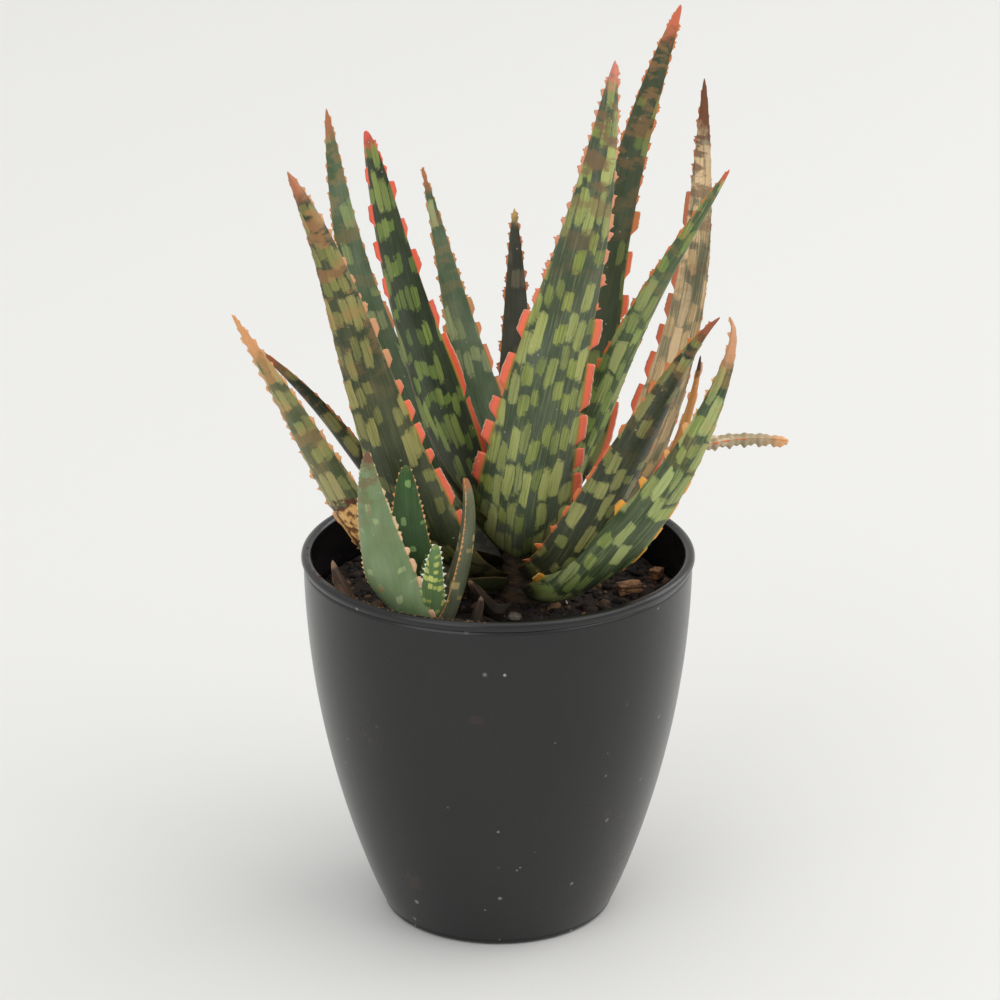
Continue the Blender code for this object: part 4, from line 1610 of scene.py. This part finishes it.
@dataclass
class Litter:
    """The dry bits on the soil."""

    scales: tuple[Scale, ...] = (
        Scale("dry_bract_left", (218, 9.2), (195, 4.5, 17), 309, 9.0, 2.0),
        Scale("dry_bract_front", (256, 22.2), (259, 29.7, 10), 247, 6.0, 1.6),
        Scale("old_leaf_stub", (270, 36.2), (245, 35.2, 12), 173, 8.0, 2.4),
    )
    lumps: tuple[Lump, ...] = (
        Lump("bark_chip_right", (8.0, 5.0, 3.6), 20, "bark"),
        Lump("bark_chip_back", (4.5, 3.5, 3.0), 60, "bark"),
        Lump("pebble_front", (5.0, 4.2, 3.2), 0, "pebble"),
    )
    seed: int = 90

    def build(self, materials: dict[str, bpy.types.Material]) -> None:
        """Builds every scale and lump.

        Args:
            materials: The finished materials by name.
        """
        for number, scale in enumerate(self.scales):
            leaf = Leaf(
                scale.name, WITHERED, Margin.BARE, heading=scale.heading, height=0, rise=0, reach=0,
                bend=NOWHERE, tip=NOWHERE, width=scale.width, thickness=scale.thickness, taper=0.6,
                swell=4.0, curl=0.7, teeth=0.8,
            )
            foot = by_wall(*scale.foot)
            ground = soil_height(*foot)
            start = Vector((*foot, ground - FOOT_SUNK))
            end = Vector((*by_wall(*scale.tip[:2]), ground + scale.tip[2]))
            bow = (start + end) / 2 + Vector((0.0, 0.0, -scale.thickness))
            curve = Curve([start, start.lerp(bow, 0.7), bow.lerp(end, 0.4), end])
            mesh = Blade(leaf, curve, self.seed + number).build()
            show(mesh, f"{scale.name}_withered", materials[WITHERED.name], WITHERED.slot, scale.name)
        for number, lump in enumerate(self.lumps):
            self._lump(lump, number, materials[lump.slot])

    @staticmethod
    def _lump(lump: Lump, number: int, material: bpy.types.Material) -> None:
        """A broken chip or a worn stone, where its solid lies.

        Args:
            lump: The lump.
            number: Its number, which sets how it is broken.
            material: Its material.
        """
        low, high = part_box(lump.name)
        shape = bmesh.new()
        if lump.slot == "bark":
            strength = 0.16
            bmesh.ops.create_cube(shape, size=1.0)
            bmesh.ops.subdivide_edges(shape, edges=shape.edges, cuts=11, use_grid_fill=True)
        else:
            strength = 0.06
            bmesh.ops.create_icosphere(shape, subdivisions=4, radius=0.5)
        for vert in shape.verts:
            spot = vert.co * 2.2 + Vector((number * 7.0, 0.0, 0.0))
            layered = Vector((spot.x * 0.4, spot.y, spot.z * 2.5))
            vert.co *= 0.86 + strength * (noise.noise(layered) + 0.5 * noise.noise(layered * 3.1))
        bmesh.ops.scale(shape, vec=Vector(lump.size) * MM, verts=shape.verts)
        bmesh.ops.rotate(shape, matrix=Matrix.Rotation(radians(lump.turn), 3, "Z"), verts=shape.verts)
        sunk = Vector((0.0, 0.0, LUMP_SUNK * MM))
        bmesh.ops.translate(shape, vec=(low + high) / 2 - sunk, verts=shape.verts)
        show(mesh_of(shape, lump.name), f"{lump.name}_broken", material, lump.slot, lump.name)


@dataclass
class OtherFinishes:
    """The materials that aren't leaves."""

    effects: Effects

    def build(self) -> dict[str, bpy.types.Material]:
        """Makes them all.

        Returns:
            The materials by name.
        """
        return {
            "pot_plastic": self._plastic(),
            "soil": self._ground(),
            "grain": self._grain(),
            "stem": self._fibrous("stem_bark", srgb(84, 66, 44), srgb(34, 26, 18), 260.0),
            "bark": self._fibrous("bark_chip", srgb(168, 122, 82), srgb(84, 54, 36), 420.0),
            "pebble": self._fibrous("grit_stone", srgb(120, 112, 96), srgb(64, 58, 48), 500.0),
        }

    def _plastic(self) -> bpy.types.Material:
        """Satin black plastic with dust and brown smudges.

        Returns:
            The material.
        """
        made, graph, shader = new_material("pot_black_plastic")
        place = graph.place()
        tone = graph.noise(place, 22.0, 3.0)
        colour = graph.mix(graph.fit(tone, 0.3, 0.7), srgb(12, 12, 13), srgb(18, 17, 17))
        patches, specks = self.effects.patches, self.effects.specks
        smudge = graph.group(patches, Place=place, Scale=48.0, Level=0.66, Softness=0.12)["Mask"]
        colour = graph.mix(graph.math("MULTIPLY", smudge, 0.35), colour, srgb(92, 62, 52))
        fine = graph.group(specks, Place=place, Scale=190.0, Size=0.18, Share=0.3)["Mask"]
        coarse = graph.group(specks, Place=place, Scale=60.0, Size=0.055, Share=0.34)["Mask"]
        where = graph.group(patches, Place=place, Scale=16.0, Level=0.36, Softness=0.2)["Mask"]
        both = graph.math("MAXIMUM", graph.math("MULTIPLY", fine, 0.4), coarse)
        dust = graph.math("MULTIPLY", both, where)
        colour = graph.mix(graph.math("MULTIPLY", dust, 0.75), colour, POT_DUST)
        graph.feed(shader.inputs["Base Color"], colour)
        rough = graph.math("MULTIPLY_ADD", tone, 0.12, 0.2)
        graph.feed(shader.inputs["Roughness"], graph.math("MULTIPLY_ADD", smudge, 0.2, rough))
        height = graph.math("MULTIPLY_ADD", graph.noise(place, 900.0, 2.0), 0.5, dust)
        graph.feed(shader.inputs["Normal"], graph.bump(height, 0.03 * MM))
        return made

    def _ground(self) -> bpy.types.Material:
        """Dark moist peat.

        Returns:
            The material.
        """
        made, graph, shader = new_material("soil_peat")
        place = graph.place()
        crumbs = graph.noise(place, 420.0, 6.0, 0.7)
        stops = ((0.3, srgb(16, 11, 9)), (0.5, srgb(36, 26, 20)), (0.72, srgb(74, 54, 40)))
        colour = graph.ramp(crumbs, stops)
        graph.feed(shader.inputs["Base Color"], colour)
        shader.inputs["Roughness"].default_value = 0.92
        graph.feed(shader.inputs["Normal"], graph.bump(graph.noise(place, 700.0, 5.0, 0.7), 0.9 * MM))
        return made

    def _grain(self) -> bpy.types.Material:
        """Peat, bark and grit, coloured grain by grain.

        Returns:
            The material.
        """
        made, graph, shader = new_material("soil_grain")
        place = graph.place()
        tint = graph.math("MULTIPLY_ADD", graph.noise(place, 900.0, 3.0), 0.1, graph.attribute("tint"))
        stops = (
            (0.0, srgb(20, 14, 11)), (0.3, srgb(42, 30, 23)), (0.55, srgb(78, 56, 40)),
            (0.75, srgb(128, 96, 66)), (0.88, srgb(190, 182, 168)),
        )
        colour = graph.ramp(graph.math("DIVIDE", tint, 1.4), stops)
        graph.feed(shader.inputs["Base Color"], colour)
        shader.inputs["Roughness"].default_value = 0.9
        graph.feed(shader.inputs["Normal"], graph.bump(graph.noise(place, 1500.0, 4.0, 0.7), 0.25 * MM))
        return made

    def _fibrous(self, name: str, light: Colour, dark: Colour, scale: float) -> bpy.types.Material:
        """A dry, layered surface.

        Args:
            name: The material's name.
            light: Its light layers.
            dark: Its dark ones.
            scale: How fine they are.

        Returns:
            The material.
        """
        made, graph, shader = new_material(name)
        place = graph.place()
        layers = graph.noise(graph.spread(place, (1.0, 1.0, 3.2)), scale, 5.0, 0.65)
        colour = graph.mix(graph.fit(layers, 0.32, 0.66), dark, light)
        specks = self.effects.specks
        pits = graph.group(specks, Place=place, Scale=scale * 1.6, Size=0.4, Share=0.3)["Mask"]
        colour = graph.mix(graph.math("MULTIPLY", pits, 0.6), colour, dark)
        graph.feed(shader.inputs["Base Color"], colour)
        graph.feed(shader.inputs["Roughness"], graph.math("MULTIPLY_ADD", layers, 0.2, 0.7))
        graph.feed(shader.inputs["Normal"], graph.bump(layers, 0.5 * MM))
        return made


def extruded(
    shape: bmesh.types.BMesh, edges: list[bmesh.types.BMEdge]
) -> tuple[list[bmesh.types.BMEdge], list[bmesh.types.BMVert]]:
    """Grows faces from edges.

    Args:
        shape: The bmesh.
        edges: The edges that they grow from.

    Returns:
        The faces' far edges and their points, which are still where the old ones are.
    """
    grown = bmesh.ops.extrude_edge_only(shape, edges=edges)["geom"]
    far = [item for item in grown if isinstance(item, bmesh.types.BMEdge)]
    return far, [item for item in grown if isinstance(item, bmesh.types.BMVert)]


@dataclass(frozen=True)
class Lamp:
    """A soft square light that looks at the plant. Its place and size are metres, and its power watts."""

    name: str
    place: Point
    size: float
    power: float
    colour: Colour = (1.0, 1.0, 1.0)
    aim: Point = (0.0, 0.0, 0.12)

    def build(self) -> None:
        """Puts the light in the scene."""
        data = bpy.data.lights.new(self.name, "AREA")
        data.size = self.size
        data.energy = self.power
        data.color = self.colour
        made = bpy.data.objects.new(self.name, data)
        made.location = self.place
        look = Vector(self.aim) - Vector(self.place)
        made.rotation_euler = look.to_track_quat("-Z", "Y").to_euler()
        bpy.context.scene.collection.objects.link(made)


@dataclass
class Studio:
    """The pale floor, the soft light and the camera. Lengths are metres here."""

    lens: float = 144.0       # millimetres, as lenses are named
    distance: float = 1.2192  # from the middle of the rim
    elevation: float = 21.6   # the camera's angle over the rim, in degrees
    pitch: float = 20.908     # how far it looks down, in degrees
    side: float = 0.0006      # how far right of the pot's axis it stands
    floor: float = 3.0        # half the floor's width
    bend: float = 1.2         # radius of the curve up to the backdrop
    bend_steps: int = 12
    backdrop: float = 3.0     # its height over that curve
    paper: Colour = srgb(232, 231, 228)
    surround: Colour = (0.93, 0.938, 0.945)
    surround_strength: float = 0.76
    lamps: tuple[Lamp, ...] = (
        Lamp("key", (2.4, -1.1, 2.6), 2.8, 31.0, (1.0, 0.985, 0.96)),
        Lamp("top", (-0.2, -0.9, 4.2), 3.6, 28.0),
        Lamp("fill", (-2.0, -2.9, 2.0), 2.8, 31.0, (0.97, 0.985, 1.0)),
        Lamp("rim", (2.4, 1.3, 1.3), 1.8, 20.0),
    )

    def build(self) -> None:
        """Sets everything up."""
        self._sweep()
        self._world()
        for lamp in self.lamps:
            lamp.build()
        self._camera()

    def _sweep(self) -> None:
        """A floor that rises into a backdrop."""
        shape = bmesh.new()
        bmesh.ops.create_grid(shape, x_segments=2, y_segments=2, size=self.floor)
        far = [edge for edge in shape.edges if all(vert.co.y > self.floor - 0.1 for vert in edge.verts)]
        for turn in range(1, self.bend_steps + 1):
            far, points = extruded(shape, far)
            angle = radians(90.0 * turn / self.bend_steps)
            for vert in points:
                vert.co.y = self.floor + self.bend * sin(angle)
                vert.co.z = self.bend * (1.0 - cos(angle))
        far, points = extruded(shape, far)
        for vert in points:
            vert.co.z += self.backdrop
        mesh = mesh_of(shape, "sweep")
        mesh.shade_smooth()
        made = bpy.data.objects.new("sweep", mesh)
        bpy.context.scene.collection.objects.link(made)
        material, _, shader = new_material("sweep_paper")
        shader.inputs["Base Color"].default_value = (*self.paper, 1.0)
        shader.inputs["Roughness"].default_value = 0.6
        mesh.materials.append(material)

    def _world(self) -> None:
        """An even pale surround."""
        world = bpy.data.worlds.new("studio")
        world.use_nodes = True
        light = world.node_tree.nodes["Background"]
        light.inputs["Color"].default_value = (*self.surround, 1.0)
        light.inputs["Strength"].default_value = self.surround_strength
        bpy.context.scene.world = world

    def _camera(self) -> None:
        """A long lens, a little above the rim."""
        data = bpy.data.cameras.new("camera")
        data.lens = self.lens
        data.sensor_width = 36.0
        made = bpy.data.objects.new("camera", data)
        lift = radians(self.elevation)
        height = POT_HEIGHT * MM + self.distance * sin(lift)
        made.location = (self.side, -self.distance * cos(lift), height)
        made.rotation_euler = (radians(90.0 - self.pitch), 0.0, 0.0)
        bpy.context.scene.collection.objects.link(made)
        bpy.context.scene.camera = made


def main() -> None:
    """Builds the object and the studio in order."""
    logging.basicConfig(level=logging.INFO)
    bpy.context.scene.view_settings.view_transform = "Standard"
    effects = Effects()
    materials = {finish.name: finish.build(effects) for finish in FINISHES}
    materials.update(OtherFinishes(effects).build())
    Pot().build(materials["pot_plastic"])
    Soil().build(materials["soil"], materials["grain"])
    for shoot in (
        Shoot("stem", STEM_AXIS, radius=7.0, tip_radius=3.0, height=25.0, leaves=ROSETTE, seed=1),
        Shoot(
            "offset_stem", by_wall(239.0, 13.3), radius=3.4, tip_radius=1.6, height=11.0,
            leaves=SHOOT_LEAVES, seed=40,
        ),
    ):
        shoot.build(materials)
    Litter().build(materials)
    Studio().build()


if __name__ == "__main__":
    main()
